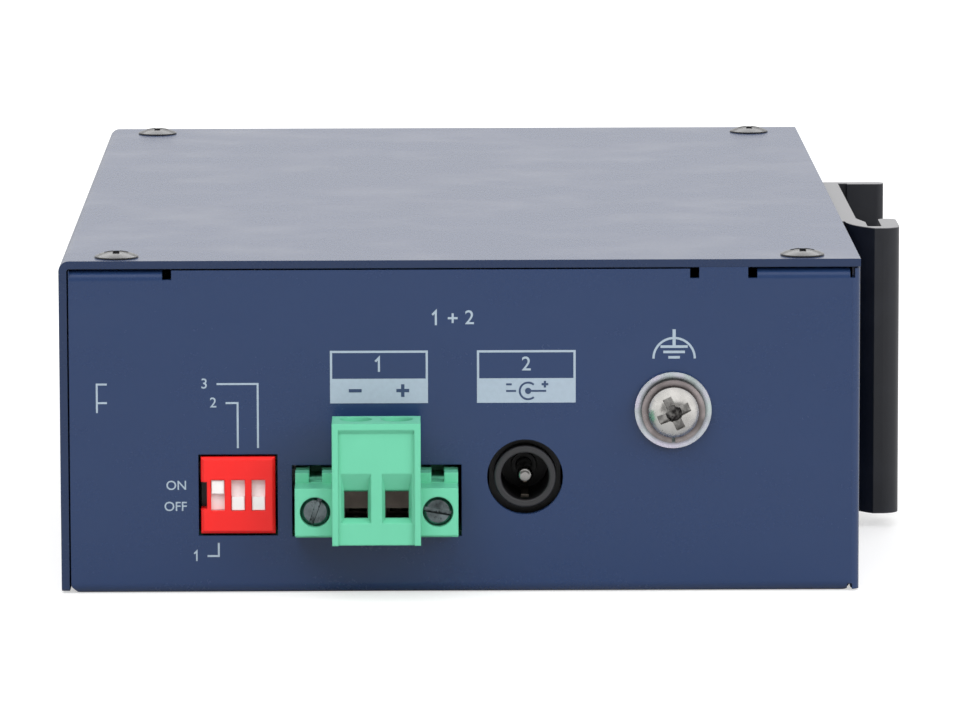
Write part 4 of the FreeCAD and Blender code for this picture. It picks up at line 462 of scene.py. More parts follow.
@dataclass(frozen=True)
class DrivenHead(Metal):
    """Screw head facing the front, its driver recess darkened in blots: painted shade."""

    axis_at: Pair = (0.0, 0.0)
    recess_shade_colour: Colour = (0.03, 0.028, 0.028)
    recess_at: float = 0.0
    recess_depth: float = 0.0004
    recess_reach: float = 0.0021
    shade_blot_size: float = 0.0008
    shade_blot_levels: Pair = (0.3, 0.6)
    shade_blot_spread: float = 0.4

    def tone(self, graph: Graph, stains: Value) -> Socket:
        """Painted shade where it is both near the screw's axis and below the head's top, in blots.

        Args:
            graph: the nodes of a new material.
            stains: where the plating is stained.

        Returns:
            The colour.
        """
        deep = graph.along(Axis.Y).between(self.recess_at, self.recess_at + self.recess_depth)
        near = 1.0 - graph.off_axis(*self.axis_at).above(self.recess_reach)
        blots = graph.noise(self.shade_blot_size, detail=3.0).between(*self.shade_blot_levels)
        # Painted shade in the recess, its strength varied in blots.
        recess_shade = blots * self.shade_blot_spread + (1.0 - self.shade_blot_spread)
        return graph.mix(super().tone(graph, stains), rgba(self.recess_shade_colour), deep * near * recess_shade)


@dataclass(frozen=True)
class WasherPlate(Metal):
    """Passivated washer with a dark ring round the piece that is clamped on it: painted contact shadow and
    dirt.
    """

    axis_at: Pair = (0.0, 0.0)
    bloom: Colour = (0.6, 0.6, 0.6)
    bloom_size: float = 0.003
    bloom_levels: Pair = (0.35, 0.65)
    seat_radius: float = 0.003
    shadow_and_dirt_reach: float = 0.0005
    shadow_and_dirt_gain: float = 0.2

    def tone(self, graph: Graph, stains: Value) -> Socket:
        """Blooms of another tint, and a dark ring at the seat's edge, painted contact shadow and dirt, that
        fades a short way outside it.

        Args:
            graph: the nodes of a new material.
            stains: where the plating is stained.

        Returns:
            The colour.
        """
        blooms = graph.noise(self.bloom_size).between(*self.bloom_levels)
        plate = graph.mix(super().tone(graph, stains), rgba(self.bloom), blooms)
        # Painted contact shadow and dirt: dark at the seat's edge, fading out past it.
        clear_of_shadow_and_dirt = graph.off_axis(*self.axis_at).between(self.seat_radius, self.seat_radius + self.shadow_and_dirt_reach)
        return graph.mix(scaled(self.colour, self.shadow_and_dirt_gain), plate, clear_of_shadow_and_dirt)


@dataclass(frozen=True)
class Anodised(Finish):
    """Black anodised extrusion: die lines along its length, and a painted sheen on its end faces if it has
    them.

    The extrusion runs along run, and ends holds where it starts and stops on that axis.
    """

    rounding: float = 0.00015
    run: Axis = Axis.Y
    ends: Pair = (-1.0, 1.0)
    end_sheen_colour: Colour = (0.3, 0.3, 0.31)
    end_skin: float = 0.00005
    line_size: float = 0.0004
    line_stretch: float = 0.02
    line_depth: float = 0.000006
    line_gloss: float = 0.1
    dust_size: float = 0.006
    dust_levels: Pair = (0.5, 0.8)
    dust_gain: float = 1.6

    def end_sheen(self, graph: Graph) -> Value:
        """Find the end faces, which get a painted sheen.

        Args:
            graph: the nodes of a new material.

        Returns:
            1 within one skin of either end, 0 from two skins on.
        """
        place = graph.along(self.run)
        low, high = self.ends
        skin = self.end_skin
        return place.between(low + 2 * skin, low + skin).larger(place.between(high - 2 * skin, high - skin))

    def dress(self, graph: Graph) -> None:
        """Die lines in the relief, paler dust and a painted sheen on the ends in the colour.

        Args:
            graph: the nodes of a new material.
        """
        stretch = [self.line_stretch if axis is self.run else 1.0 for axis in Axis]
        lines = graph.noise(self.line_size, detail=3.0, stretch=stretch)
        dust = graph.noise(self.dust_size, detail=5.0).between(*self.dust_levels)
        coat = graph.shades(self.colour, (1.0, self.dust_gain), dust)
        graph.coat(
            # Painted sheen: the end faces take the paler end colour.
            Base_Color=graph.mix(coat, rgba(self.end_sheen_colour), self.end_sheen(graph)),
            Roughness=lines * self.line_gloss + self.roughness,
        )
        graph.relief(lines, self.line_depth, self.rounding)


@dataclass(frozen=True)
class Laminate(Finish):
    """Circuit board: green mask over paler tracks, with pale round pads."""

    pad: Colour = (0.55, 0.5, 0.38)
    pad_pitch: float = 0.0042
    pad_radius: float = 0.16
    track_size: float = 0.006
    track_steps: float = 22.0
    track_from: float = 0.62
    track_gain: float = 1.9
    track_share: float = 0.6
    weave: float = 0.0006
    weave_gloss: float = 0.15
    copper: float = 0.00002

    def dress(self, graph: Graph) -> None:
        """Tracks where slow noise crosses set levels, pads at scattered points.

        Args:
            graph: the nodes of a new material.
        """
        level = graph.noise(self.track_size, detail=0.0) * self.track_steps
        tracks = (level - level.whole()).above(self.track_from)
        pads = 1.0 - graph.cells(self.pad_pitch).above(self.pad_radius)
        masked = graph.shades(self.colour, (1.0, self.track_gain), tracks)
        graph.coat(
            Base_Color=graph.mix(masked, rgba(self.pad), pads),
            Metallic=pads,
            Roughness=graph.noise(self.weave) * self.weave_gloss + self.roughness,
        )
        raised = tracks * self.track_share + pads * (1.0 - self.track_share)
        graph.relief(raised, self.copper, self.rounding)


@dataclass(frozen=True)
class ClearPlastic(Finish):
    """Clear moulding with a trace of haze."""

    clarity: float = 0.85
    bending: float = 1.49
    haze_size: float = 0.002
    haze_gain: float = 0.92
    haze_gloss: float = 0.12

    def dress(self, graph: Graph) -> None:
        """Clear body, with haze in the colour and gloss.

        Args:
            graph: the nodes of a new material.
        """
        haze = graph.noise(self.haze_size, detail=3.0)
        graph.coat(
            Transmission_Weight=self.clarity,
            IOR=self.bending,
            Base_Color=graph.shades(self.colour, (1.0, self.haze_gain), haze),
            Roughness=haze * self.haze_gloss + self.roughness,
        )


@dataclass(frozen=True)
class Ink(Finish):
    """Screen-printed ink with a slightly broken film."""

    grain: float = 0.0006
    grain_gloss: float = 0.08
    gains: Pair = (0.88, 1.06)

    def dress(self, graph: Graph) -> None:
        """Grain of the powder coat under a thin film.

        Args:
            graph: the nodes of a new material.
        """
        film = graph.noise(self.grain, detail=3.0)
        graph.coat(
            Base_Color=graph.shades(self.colour, self.gains, film),
            Roughness=film * self.grain_gloss + self.roughness,
        )


@dataclass(frozen=True)
class StudioCard(Finish):
    """Matt card that glows a little, either everywhere or for the eye alone."""

    roughness: float = 0.9
    glow: float = 0.2
    for_the_eye: bool = False

    def dress(self, graph: Graph) -> None:
        """One tone, and a glow that reflections and matt surfaces may not see.

        Args:
            graph: the nodes of a new material.
        """
        glow = rgba(grey(self.glow))
        if self.for_the_eye:
            glow = graph.mix(rgba(grey(0.0)), glow, graph.ray(Ray.CAMERA))
        graph.coat(
            Base_Color=rgba(self.colour),
            Roughness=self.roughness,
            Emission_Color=glow,
            Emission_Strength=1.0,
        )


class Plating(Enum):
    """Platings and bare metals that several sub-assemblies share."""

    ZINC = Metal("zinc_plate", (0.56, 0.57, 0.58), roughness=0.3)
    NICKEL = Metal("nickel_plate", (0.80, 0.80, 0.82), roughness=0.24)
    TIN = Metal("tin_plate", (0.30, 0.26, 0.22), roughness=0.36)
    GOLD = Metal("gold_plate", (0.85, 0.62, 0.28), roughness=0.25)


class Resin(Enum):
    """Mouldings that several sub-assemblies share."""

    BLACK = Moulded("black_moulding", (0.014, 0.014, 0.016), roughness=0.36)
    CHIP = Moulded("chip_moulding", (0.018, 0.018, 0.02), roughness=0.5)


class Wardrobe:
    """Builds each finish once and puts it on pieces."""

    def __init__(self) -> None:
        """Start with nothing built."""
        self.built: dict[str, bpy.types.Material] = {}

    def wear(self, piece: Piece, finish: Finish) -> None:
        """Replace all of a piece's materials by one finish.

        Args:
            piece: any mesh object.
            finish: the finish, which is built when it is first worn.
        """
        if finish.name not in self.built:
            self.built[finish.name] = finish.material()
        piece.data.materials.clear()
        piece.data.materials.append(self.built[finish.name])
        log.info("%s wears %s", piece.name, finish.name)

    def dress(self, finish: Finish, *nodes: str) -> None:
        """Put one finish on CAD nodes."""
        for name in nodes:
            self.wear(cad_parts[name], finish)


# Meshes
def new_piece(name: str, points: np.ndarray, faces: list[list[int]]) -> Piece:
    """Put a mesh into a new object.

    Args:
        name: of the object and its mesh.
        points: places in metres.
        faces: the numbers of each face's points, anticlockwise as seen from outside.

    Returns:
        The new object, at the origin.
    """
    mesh = bpy.data.meshes.new(name)
    mesh.from_pydata(points.tolist(), [], faces)
    mesh.validate()
    piece = bpy.data.objects.new(name, mesh)
    bpy.context.scene.collection.objects.link(piece)
    return piece


def swept(name: str, rings: np.ndarray, closed: bool) -> Piece:
    """Join rings of points into a closed skin.

    Point j of ring i is joined to point j + 1 of that ring and to the points with the same
    numbers in ring i + 1, so the skin is a grid of four-sided faces.

    Args:
        name: the object's name.
        rings: points in metres, as (rings, points in a ring, 3).
        closed: whether the last ring joins the first, else both ends get a face.

    Returns:
        The new object, at the origin.
    """
    count, size, _ = rings.shape
    along = np.arange(count if closed else count - 1)
    around = np.arange(size)
    i, j = np.meshgrid(along, around, indexing="ij")
    after_i = (i + 1) % count
    after_j = (j + 1) % size
    corners = [i * size + j, after_i * size + j, after_i * size + after_j, i * size + after_j]
    faces = np.stack(corners, axis=-1).reshape(-1, 4).tolist()
    if not closed:
        faces.append(around.tolist())
        faces.append((around[::-1] + (count - 1) * size).tolist())
    return new_piece(name, rings.reshape(-1, 3), faces)


def numbers_of(items: bpy.types.bpy_prop_collection, label: str) -> np.ndarray:
    """One whole number of each of a mesh's corners or faces.

    Args:
        items: the corners or the faces.
        label: which number.

    Returns:
        The numbers in order.
    """
    numbers = np.empty(len(items), dtype=np.int32)
    items.foreach_get(label, numbers)
    return numbers


def merged(name: str, pieces: Sequence[Piece]) -> Piece:
    """Join several objects into one, and remove them.

    Each piece's point numbers are moved up by the number of points before it.

    Args:
        name: of the new object.
        pieces: mesh objects at the origin.

    Returns:
        The new object, at the origin.
    """
    points: list[np.ndarray] = []
    faces: list[list[int]] = []
    offset = 0
    for piece in pieces:
        mesh = piece.data
        flat = np.empty(len(mesh.vertices) * 3)
        mesh.vertices.foreach_get("co", flat)
        points.append(flat.reshape(-1, 3))
        corners = numbers_of(mesh.loops, "vertex_index") + offset
        starts = numbers_of(mesh.polygons, "loop_start")
        faces += [face.tolist() for face in np.split(corners, starts[1:])]
        offset += len(mesh.vertices)
        bpy.data.objects.remove(piece)
    return new_piece(name, np.vstack(points), faces)


@dataclass
class SubAssembly(ABC):
    """One part of the switch, dressed from a wardrobe."""

    wardrobe: Wardrobe

    @abstractmethod
    def build(self) -> None:
        """Make and dress every piece."""


# Ink on the power panel
class Tone(Enum):
    """The two tones of ink."""

    PALE = Ink("pale_ink", (0.36, 0.44, 0.52), roughness=0.5)
    PANEL = Ink("panel_coloured_ink", (0.032, 0.058, 0.125), roughness=0.4)


class Align(Enum):
    """Which point of some figures stands at their anchor."""

    MIDDLE = "CENTER"
    END = "RIGHT"


@dataclass
class Printer(SubAssembly):
    """Prints ink on the power panel.

    Places are millimetres across the panel from its middle and up from the underside. Lines are
    as wide as line or fine. A mark stands as many films proud as layers says, and swell thickens
    the figures. capital is a capital's height as a share of the letters' size. flag and stroke are
    shares of a figure's height.
    """

    line: float = 0.28
    fine: float = 0.24
    film: float = 0.02
    swell: float = 0.012
    capital: float = 0.7
    flag: float = 0.26
    stroke: float = 0.15
    layers: int = 1
    face: float = field(init=False)

    def __post_init__(self) -> None:
        """Read where the panel's face is, in millimetres."""
        self.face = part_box("base_tray")[0][1] / MM

    def raised(self, plan: np.ndarray, layers: int) -> np.ndarray:
        """Points across and up the panel, moved out by a number of films, in metres."""
        out = np.full(len(plan), self.face - layers * self.film)
        return np.column_stack([plan[:, 0], out, plan[:, 1]]) * MM

    def ribbon(self, path: Outline, width: float, closed: bool = False) -> Piece:
        """A flat line of ink along a path.

        Each point is moved left and right along the mean of the normals of the two runs that
        meet there, lengthened by the mitre, so corners stay sharp.

        Args:
            path: points across and up the panel.
            width: of the line.
            closed: whether the last point joins the first.

        Returns:
            A mesh object at the origin.
        """
        points = np.asarray(path, dtype=float)
        run_in = points - np.roll(points, 1, axis=0)
        run_out = np.roll(points, -1, axis=0) - points
        if not closed:
            run_in[0] = run_out[0]
            run_out[-1] = run_in[-1]
        run_in /= np.linalg.norm(run_in, axis=1, keepdims=True)
        run_out /= np.linalg.norm(run_out, axis=1, keepdims=True)
        normal_in = np.stack([-run_in[:, 1], run_in[:, 0]], axis=1)
        normal_out = np.stack([-run_out[:, 1], run_out[:, 0]], axis=1)
        mitre = (normal_in + normal_out) / (1.0 + np.sum(normal_in * normal_out, axis=1, keepdims=True))
        left = points + mitre * width / 2
        right = points - mitre * width / 2
        corners = [(right, 0), (right, self.layers), (left, self.layers), (left, 0)]
        rings = np.stack([self.raised(edge, height) for edge, height in corners], axis=1)
        return swept("ribbon", rings, closed)

    def arc(
        self, x: float, z: float, radius: float, start: float, stop: float, points: int = 32
    ) -> np.ndarray:
        """Points at a radius round a centre, from one angle to another in degrees."""
        angle = np.radians(np.linspace(start, stop, points))
        return np.column_stack([x + radius * np.cos(angle), z + radius * np.sin(angle)])

    def patch(self, outline: Outline) -> Piece:
        """A filled shape: its outline twice, at the film's face and on the panel, and the sides.

        Args:
            outline: points across and up the panel, anticlockwise as seen from the front.

        Returns:
            A mesh object at the origin.
        """
        plan = np.asarray(outline, dtype=float)
        count = len(plan)
        j = np.arange(count)
        after = (j + 1) % count
        sides = np.stack([j, j + count, after + count, after], axis=1).tolist()
        faces = [j.tolist(), (j[::-1] + count).tolist()] + sides
        points = np.vstack([self.raised(plan, self.layers), self.raised(plan, 0)])
        return new_piece("patch", points, faces)

    def block(self, left: float, right: float, low: float, high: float) -> Piece:
        """A filled rectangle."""
        return self.patch(rectangle(left, right, low, high))

    def dash(self, x: float, z: float, length: float, width: float) -> Piece:
        """A level dash round its middle."""
        return self.block(x - length / 2, x + length / 2, z - width / 2, z + width / 2)

    def plus(self, x: float, z: float, size: float, width: float) -> Piece:
        """A plus sign as one outline: the three corners of a limb, at each of four quarter turns.

        Args:
            x: the middle across the panel.
            z: the middle above the underside.
            size: from tip to tip.
            width: of a limb.

        Returns:
            A mesh object at the origin.
        """
        arm = width / 2
        tip = size / 2
        limb = np.array([(tip, -arm), (tip, arm), (arm, arm)])
        quarter_turn = np.array([(0.0, 1.0), (-1.0, 0.0)])
        limbs = [limb @ np.linalg.matrix_power(quarter_turn, turns) for turns in range(4)]
        return self.patch(np.vstack(limbs) + (x, z))

    def one(self, x: float, z: float, height: float) -> Piece:
        """The figure 1: a stem under a short flag.

        Args:
            x: the stem's place across the panel.
            z: the middle of the stem above the underside.
            height: of the stem.

        Returns:
            A mesh object at the origin.
        """
        half = height / 2
        flag = height * self.flag
        return self.ribbon([(x - flag, z + half - flag), (x, z + half), (x, z - half)], height * self.stroke)

    def figures(
        self, text: str, x: float, z: float, height: float, align: Align = Align.MIDDLE
    ) -> Piece:
        """Plain figures.

        Args:
            text: the figures.
            x: the anchor across the panel.
            z: the middle of the figures above the underside.
            height: the height of a capital.
            align: which point of the figures stands at x.

        Returns:
            A mesh object at the origin.
        """
        curve = bpy.data.curves.new("figures", "FONT")
        curve.body = text
        curve.align_x = align.value
        curve.align_y = "CENTER"
        curve.size = height * MM / self.capital
        curve.offset = self.swell * MM
        curve.extrude = self.film * MM / 2
        source = bpy.data.objects.new("figures", curve)
        bpy.context.scene.collection.objects.link(source)
        bpy.context.view_layer.update()
        mesh = bpy.data.meshes.new_from_object(source)
        bpy.data.objects.remove(source)
        upright = Matrix.Rotation(math.pi / 2, 4, "X")
        anchor = Matrix.Translation((x * MM, (self.face - self.film / 2) * MM, z * MM))
        mesh.transform(anchor @ upright)
        piece = bpy.data.objects.new("figures", mesh)
        bpy.context.scene.collection.objects.link(piece)
        return piece

    def ink(self, name: str, marks: Sequence[Piece], tone: Tone = Tone.PALE) -> None:
        """Join marks into one piece that rides on the case.

        Args:
            name: of the piece.
            marks: mesh objects at the origin.
            tone: of the ink.
        """
        piece = merged(name, marks)
        self.wardrobe.wear(piece, tone.value)
        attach(piece, "case")


@dataclass
class SupplyPrint(Printer):
    """A frame over each supply, filled below, with the polarity over the filling.

    The signs have proud layers, because they lie on the filling. ring_gap and pin_turn are in
    degrees: where the ring round the pin starts, and where the pin's last point is.
    """

    terminal_frame: Pair = (-16.1, -4.15)
    jack_frame: Pair = (2.25, 14.3)
    low: float = 24.15
    filled_to: float = 27.1
    high: float = 30.5
    number_height: float = 1.75
    number_at: float = 28.85
    title_at: Pair = (-0.9, 34.7)
    title_step: float = 2.1
    plus_share: float = 0.7
    sign_at: float = 25.6
    polarity_at: Pair = (0.4, 25.5)
    sign_spread: float = 2.97
    sign_length: float = 1.6
    sign_width: float = 0.42
    ring_radius: float = 1.05
    ring_gap: float = 48.0
    pin_radius: float = 0.2
    pin_width: float = 0.38
    pin_turn: float = 348.0
    lead: float = 2.26
    lead_dash: Pair = (-2.75, -1.5)
    small_minus: Pair = (-2.4, 0.7)
    small_plus: Pair = (2.1, 0.84)
    small_up: float = 0.84
    proud: int = 2

    def frames(self) -> None:
        """Both frames and their fillings, butted against the inside of the line."""
        inside = self.line / 2
        marks = []
        for left, right in (self.terminal_frame, self.jack_frame):
            frame_line = rectangle(left, right, self.low, self.high)
            marks.append(self.ribbon(frame_line, self.line, closed=True))
            marks.append(self.block(left + inside, right - inside, self.low + inside, self.filled_to))
        self.ink("print_supply_frames", marks)

    def numbers(self) -> None:
        """A number in each frame, and both over the pair."""
        x, z = self.title_at
        self.ink("print_supply_numbers", [
            self.one(sum(self.terminal_frame) / 2, self.number_at, self.number_height),
            self.figures("2", sum(self.jack_frame) / 2, self.number_at, self.number_height),
            self.one(x - self.title_step, z, self.number_height),
            self.plus(x, z, self.number_height * self.plus_share, self.number_height * self.stroke),
            self.figures("2", x + self.title_step, z, self.number_height),
        ])

    def signs(self) -> None:
        """Minus and plus over the poles, and the polarity of the round plug."""
        halfway = sum(self.terminal_frame) / 2
        beside, z = self.polarity_at
        x = middle(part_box("dc_jack_pin"), 0) / MM + beside
        dash_from, dash_to = self.lead_dash
        minus_at, minus_length = self.small_minus
        plus_at, plus_size = self.small_plus
        ring = self.arc(x, z, self.ring_radius, self.ring_gap, 360 - self.ring_gap)
        pin = self.arc(x, z, self.pin_radius, 0, self.pin_turn)
        pin_edge = x + self.pin_radius + self.pin_width / 2
        half_line = self.fine / 2
        above = z + self.small_up
        over = replace(self, layers=self.proud)
        self.ink("print_supply_signs", [
            over.dash(halfway - self.sign_spread, self.sign_at, self.sign_length, self.sign_width),
            over.plus(halfway + self.sign_spread, self.sign_at, self.sign_length, self.sign_width),
            over.ribbon(ring, self.fine),
            over.ribbon(pin, self.pin_width, closed=True),
            over.block(pin_edge, x + self.lead, z - half_line, z + half_line),
            over.dash(x + (dash_from + dash_to) / 2, z, dash_to - dash_from, self.fine),
            over.dash(x + minus_at, above, minus_length, self.fine),
            over.plus(x + plus_at, above, plus_size, self.line),
        ], Tone.PANEL)

    def build(self) -> None:
        """Print everything over the supplies."""
        self.frames()
        self.numbers()
        self.signs()


@dataclass
class SwitchPrint(Printer):
    """Leaders and figures round the slide switches."""

    upper: float = 26.5
    lower: float = 24.1
    foot: float = 18.4
    pole_places: Pair = (-25.28, -27.8)
    leader_ends: Pair = (-30.4, -29.3)
    bracket: Pair = (-45.36, -44.1)
    bracket_foot: float = 22.9
    bracket_lower: float = 24.15
    figure_gap: float = 1.1
    first_leader: Trio = (-31.7, 4.73, 6.4)
    first_pole: float = -30.28
    number_height: float = 1.25
    word_height: float = 1.15
    word_edge: float = -34.2
    on_at: float = 13.65
    off_at: float = 10.98

    def leaders(self) -> None:
        """Lines from each switch to its figure, and a bracket beside the upper two."""
        near, far = self.pole_places
        near_end, far_end = self.leader_ends
        low, high = self.bracket
        tail, level, tip = self.first_leader
        paths = [
            [(near, self.foot), (near, self.upper), (near_end, self.upper)],
            [(far, self.foot), (far, self.lower), (far_end, self.lower)],
            [(high, self.upper), (low, self.upper), (low, self.bracket_foot)],
            [(low + self.fine / 2, self.bracket_lower), (high, self.bracket_lower)],
            [(tail, level), (self.first_pole, level), (self.first_pole, tip)],
        ]
        self.ink("print_switch_leaders", [self.ribbon(path, self.fine) for path in paths])

    def figures_beside(self) -> None:
        """A number for each switch, and its two states."""
        near_end, far_end = self.leader_ends
        tail, level, _ = self.first_leader
        self.ink("print_switch_figures", [
            self.figures("3", near_end - self.figure_gap, self.upper, self.number_height, Align.END),
            self.figures("2", far_end - self.figure_gap, self.lower, self.number_height, Align.END),
            self.one(tail - self.figure_gap - self.fine, level, self.number_height),
            self.figures("ON", self.word_edge, self.on_at, self.word_height, Align.END),
            self.figures("OFF", self.word_edge, self.off_at, self.word_height, Align.END),
        ])

    def build(self) -> None:
        """Print everything round the switches."""
        self.leaders()
        self.figures_beside()


@dataclass
class EarthPrint(Printer):
    """Earth sign under an arc."""

    beside_screw: float = 0.13
    arc_at: float = 29.52
    arc_radius: float = 2.58
    stem_top: float = 33.2
    stem_width: float = 0.4
    bars: tuple[Pair, ...] = ((3.4, 31.02), (2.7, 30.35), (1.44, 29.67))
    bar_width: float = 0.32

    def build(self) -> None:
        """Arc, stem in two lengths that stop at the arc, and three bars."""
        x = middle(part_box("ground_screw"), 0) / MM + self.beside_screw
        left, right = x - self.stem_width / 2, x + self.stem_width / 2
        inner = self.arc_at + self.arc_radius - self.line / 2
        marks = [
            self.ribbon(self.arc(x, self.arc_at, self.arc_radius, 0, 180), self.line),
            self.block(left, right, self.bars[0][1] + self.bar_width / 2, inner - self.film),
            self.block(left, right, inner + self.line, self.stem_top),
        ]
        marks += [self.dash(x, z, length, self.bar_width) for length, z in self.bars]
        self.ink("print_earth_sign", marks)


# Sub-assemblies
@dataclass
class Case(SubAssembly):
    """Folded tray and cover with the cover's screws."""

    coat: PowderCoat = PowderCoat("navy_powder_coat", (0.0152, 0.0365, 0.105), roughness=0.24)
    screws: Moulded = Moulded("black_screw_coat", (0.02, 0.02, 0.022), roughness=0.24, rounding=0.00015)

    def build(self) -> None:
        """Powder coat with painted shade on the cover's cut edge, and black coated screws."""
        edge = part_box("top_cover")[0][1]
        self.wardrobe.dress(self.coat, "base_tray")
        self.wardrobe.dress(replace(self.coat, name="navy_cover_coat", edge_at=edge), "top_cover")
        self.wardrobe.dress(self.screws, "cover_screws")


@dataclass
class Terminal(SubAssembly):
    """Pluggable screw terminal."""

    green: Moulded = Moulded("green_moulding", (0.14, 0.56, 0.355), roughness=0.42, rounding=0.00028)
    # Painted shade: the cages and contacts deep in the wire entries get a near-black brown plate.
    clamp: Metal = Metal("shaded_clamp_plate", (0.09, 0.075, 0.065), roughness=0.4)
    lock: Metal = Metal(
        "dull_screw_plate", (0.19, 0.23, 0.24), roughness=0.22, stain=0.75, grain=0.0005, depth=0.00014,
        lines=(1.0, 1.0, 0.4),
    )

    def build(self) -> None:
        """Green mouldings, dull plated screws, and cages behind the wire entries painted dark as shade."""
        self.wardrobe.dress(self.green, "terminal_header", "plug_housing")
        self.wardrobe.dress(self.lock, "plug_locking_screws")
        self.wardrobe.dress(self.clamp, "clamp_cage_left", "clamp_cage_right", "plug_contacts")
        self.wardrobe.dress(Plating.ZINC.value, "header_nuts", "clamp_screw_left", "clamp_screw_right")
        self.wardrobe.dress(Plating.TIN.value, "header_pins")


@dataclass
class SlideSwitch(SubAssembly):
    """Three slide switches under a red cover."""

    cover: Moulded = Moulded("red_moulding", (0.90, 0.012, 0.010), roughness=0.36, rounding=0.0003)
    knobs: Moulded = Moulded("white_moulding", (0.90, 0.88, 0.87), roughness=0.42, cloud=0.03)

    def build(self) -> None:
        """Red cover, pale knobs, black base and tinned legs."""
        self.wardrobe.dress(self.cover, "dip_cover")
        self.wardrobe.dress(self.knobs, "dip_slider_1", "dip_slider_2", "dip_slider_3")
        self.wardrobe.dress(Resin.BLACK.value, "dip_base")
        self.wardrobe.dress(Plating.TIN.value, "dip_legs")


@dataclass
class PowerJack(SubAssembly):
    """Round power inlet."""

    # The body behind the barrel mouth is painted darker than the mouth's face: painted shade.
    body: FacedMoulding = FacedMoulding(
        "jack_moulding", (0.008, 0.008, 0.009), roughness=0.4, face_colour=(0.030, 0.030, 0.033),
        face_depth=0.0005,
    )
    pin: Metal = Metal("jack_pin_plate", (0.42, 0.41, 0.40), roughness=0.2)

    def build(self) -> None:
        """Black body with painted shade behind its paler barrel mouth, plated pin and leaf."""
        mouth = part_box("dc_jack_body")[0][1]
        self.wardrobe.dress(replace(self.body, face_at=mouth), "dc_jack_body")
        self.wardrobe.dress(self.pin, "dc_jack_pin")
        self.wardrobe.dress(Plating.TIN.value, "dc_jack_spring")


@dataclass
class EarthScrew(SubAssembly):
    """Screw with a flat and a split washer."""

    recess_start: float = 0.00078
    head: DrivenHead = DrivenHead(
        "earth_screw_plate", (0.76, 0.74, 0.71), roughness=0.26, recess_reach=0.00212,
    )
    spring: WasherPlate = WasherPlate(
        "spring_washer_plate", (0.50, 0.44, 0.44), roughness=0.3, bloom=(0.20, 0.18, 0.17),
    )
    flat: WasherPlate = WasherPlate(
        "flat_washer_plate", (0.70, 0.80, 0.80), roughness=0.26, bloom=(0.78, 0.74, 0.88),
    )

    def build(self) -> None:
        """Bright head with painted shade in its recess, dull spring washer, bright flat washer, each washer
        with painted contact shadow and dirt round its seat.
        """
        low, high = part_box("ground_screw")
        spring_low, spring_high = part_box("ground_split_washer")
        axis = middle((low, high), 0), middle((low, high), 2)
        head_radius = (high[0] - low[0]) / 2
        spring_radius = (spring_high[0] - spring_low[0]) / 2
        head = replace(self.head, axis_at=axis, recess_at=low[1] + self.recess_start)
        self.wardrobe.dress(head, "ground_screw")
        spring = replace(self.spring, axis_at=axis, seat_radius=head_radius)
        self.wardrobe.dress(spring, "ground_split_washer")
        flat = replace(self.flat, axis_at=axis, seat_radius=spring_radius)
        self.wardrobe.dress(flat, "ground_flat_washer")
        self.wardrobe.dress(Plating.NICKEL.value, "ground_nut")


@dataclass
class RailClip(SubAssembly):
    """Extruded clip with its spring catch, screws and nuts."""

    # The paler end colour is a painted sheen.
    clip: Anodised = Anodised(
        "clip_anodise", (0.010, 0.011, 0.015), roughness=0.26, run=Axis.Z, end_sheen_colour=(0.16, 0.16, 0.17),
    )
    strip: Metal = Metal("stainless_strip", (0.55, 0.55, 0.56), roughness=0.3, lines=(1.0, 1.0, 0.05))

    def build(self) -> None:
        """Black anodised clip with a painted sheen on its end faces, bright catch."""
        low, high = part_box("rail_clip")
        self.wardrobe.dress(replace(self.clip, ends=(low[2], high[2])), "rail_clip")
        self.wardrobe.dress(self.strip, "rail_catch")
        self.wardrobe.dress(Plating.ZINC.value, "clip_screws", "clip_nuts")


@dataclass
class PortWall(SubAssembly):
    """Network ports, fibre cage, lamps and reset button."""

    shield: Metal = Metal("jack_shield", (0.62, 0.61, 0.58), roughness=0.3, lines=(0.08, 1.0, 1.0))
    pipes: ClearPlastic = ClearPlastic("clear_moulding", (0.93, 0.95, 0.95), roughness=0.08)
    lamps: Moulded = Moulded("lamp_moulding", (0.8, 0.8, 0.76), roughness=0.4, cloud=0.03)
    button: Moulded = Moulded("button_moulding", (0.1, 0.1, 0.11), roughness=0.45)

    def build(self) -> None:
        """Tinned shields over black housings, gold contacts, clear light pipes."""
        self.wardrobe.dress(self.shield, "port_bank_shield", "uplink_shield", "fibre_cage")
        self.wardrobe.dress(
            Resin.BLACK.value, "port_bank_housing", "uplink_housing", "fibre_connector", "reset_switch",
        )
        self.wardrobe.dress(Plating.GOLD.value, "port_bank_contacts", "uplink_contacts")
        self.wardrobe.dress(self.pipes, "light_pipes")
        self.wardrobe.dress(self.lamps, "status_lamps")
        self.wardrobe.dress(self.button, "reset_button")


@dataclass
class Board(SubAssembly):
    """Circuit board with its chips, sink, coils and capacitors."""

    laminate: Laminate = Laminate("solder_mask", (0.012, 0.085, 0.03), roughness=0.3)
    sink: Anodised = Anodised("sink_anodise", (0.02, 0.02, 0.022), roughness=0.34, run=Axis.Z)
    can: Metal = Metal("drawn_can", (0.6, 0.6, 0.62), roughness=0.35, lines=(1.0, 1.0, 0.06))

    def build(self) -> None:
        """Green laminate, black chips and coils, anodised sink, drawn cans."""
        self.wardrobe.dress(self.laminate, "circuit_board")
        self.wardrobe.dress(Resin.CHIP.value, "switch_chip", "port_transformers", "power_inductors")
        self.wardrobe.dress(self.sink, "heatsink")
        self.wardrobe.dress(self.can, "power_capacitors")
        self.wardrobe.dress(Plating.ZINC.value, "board_screws", "board_standoffs")


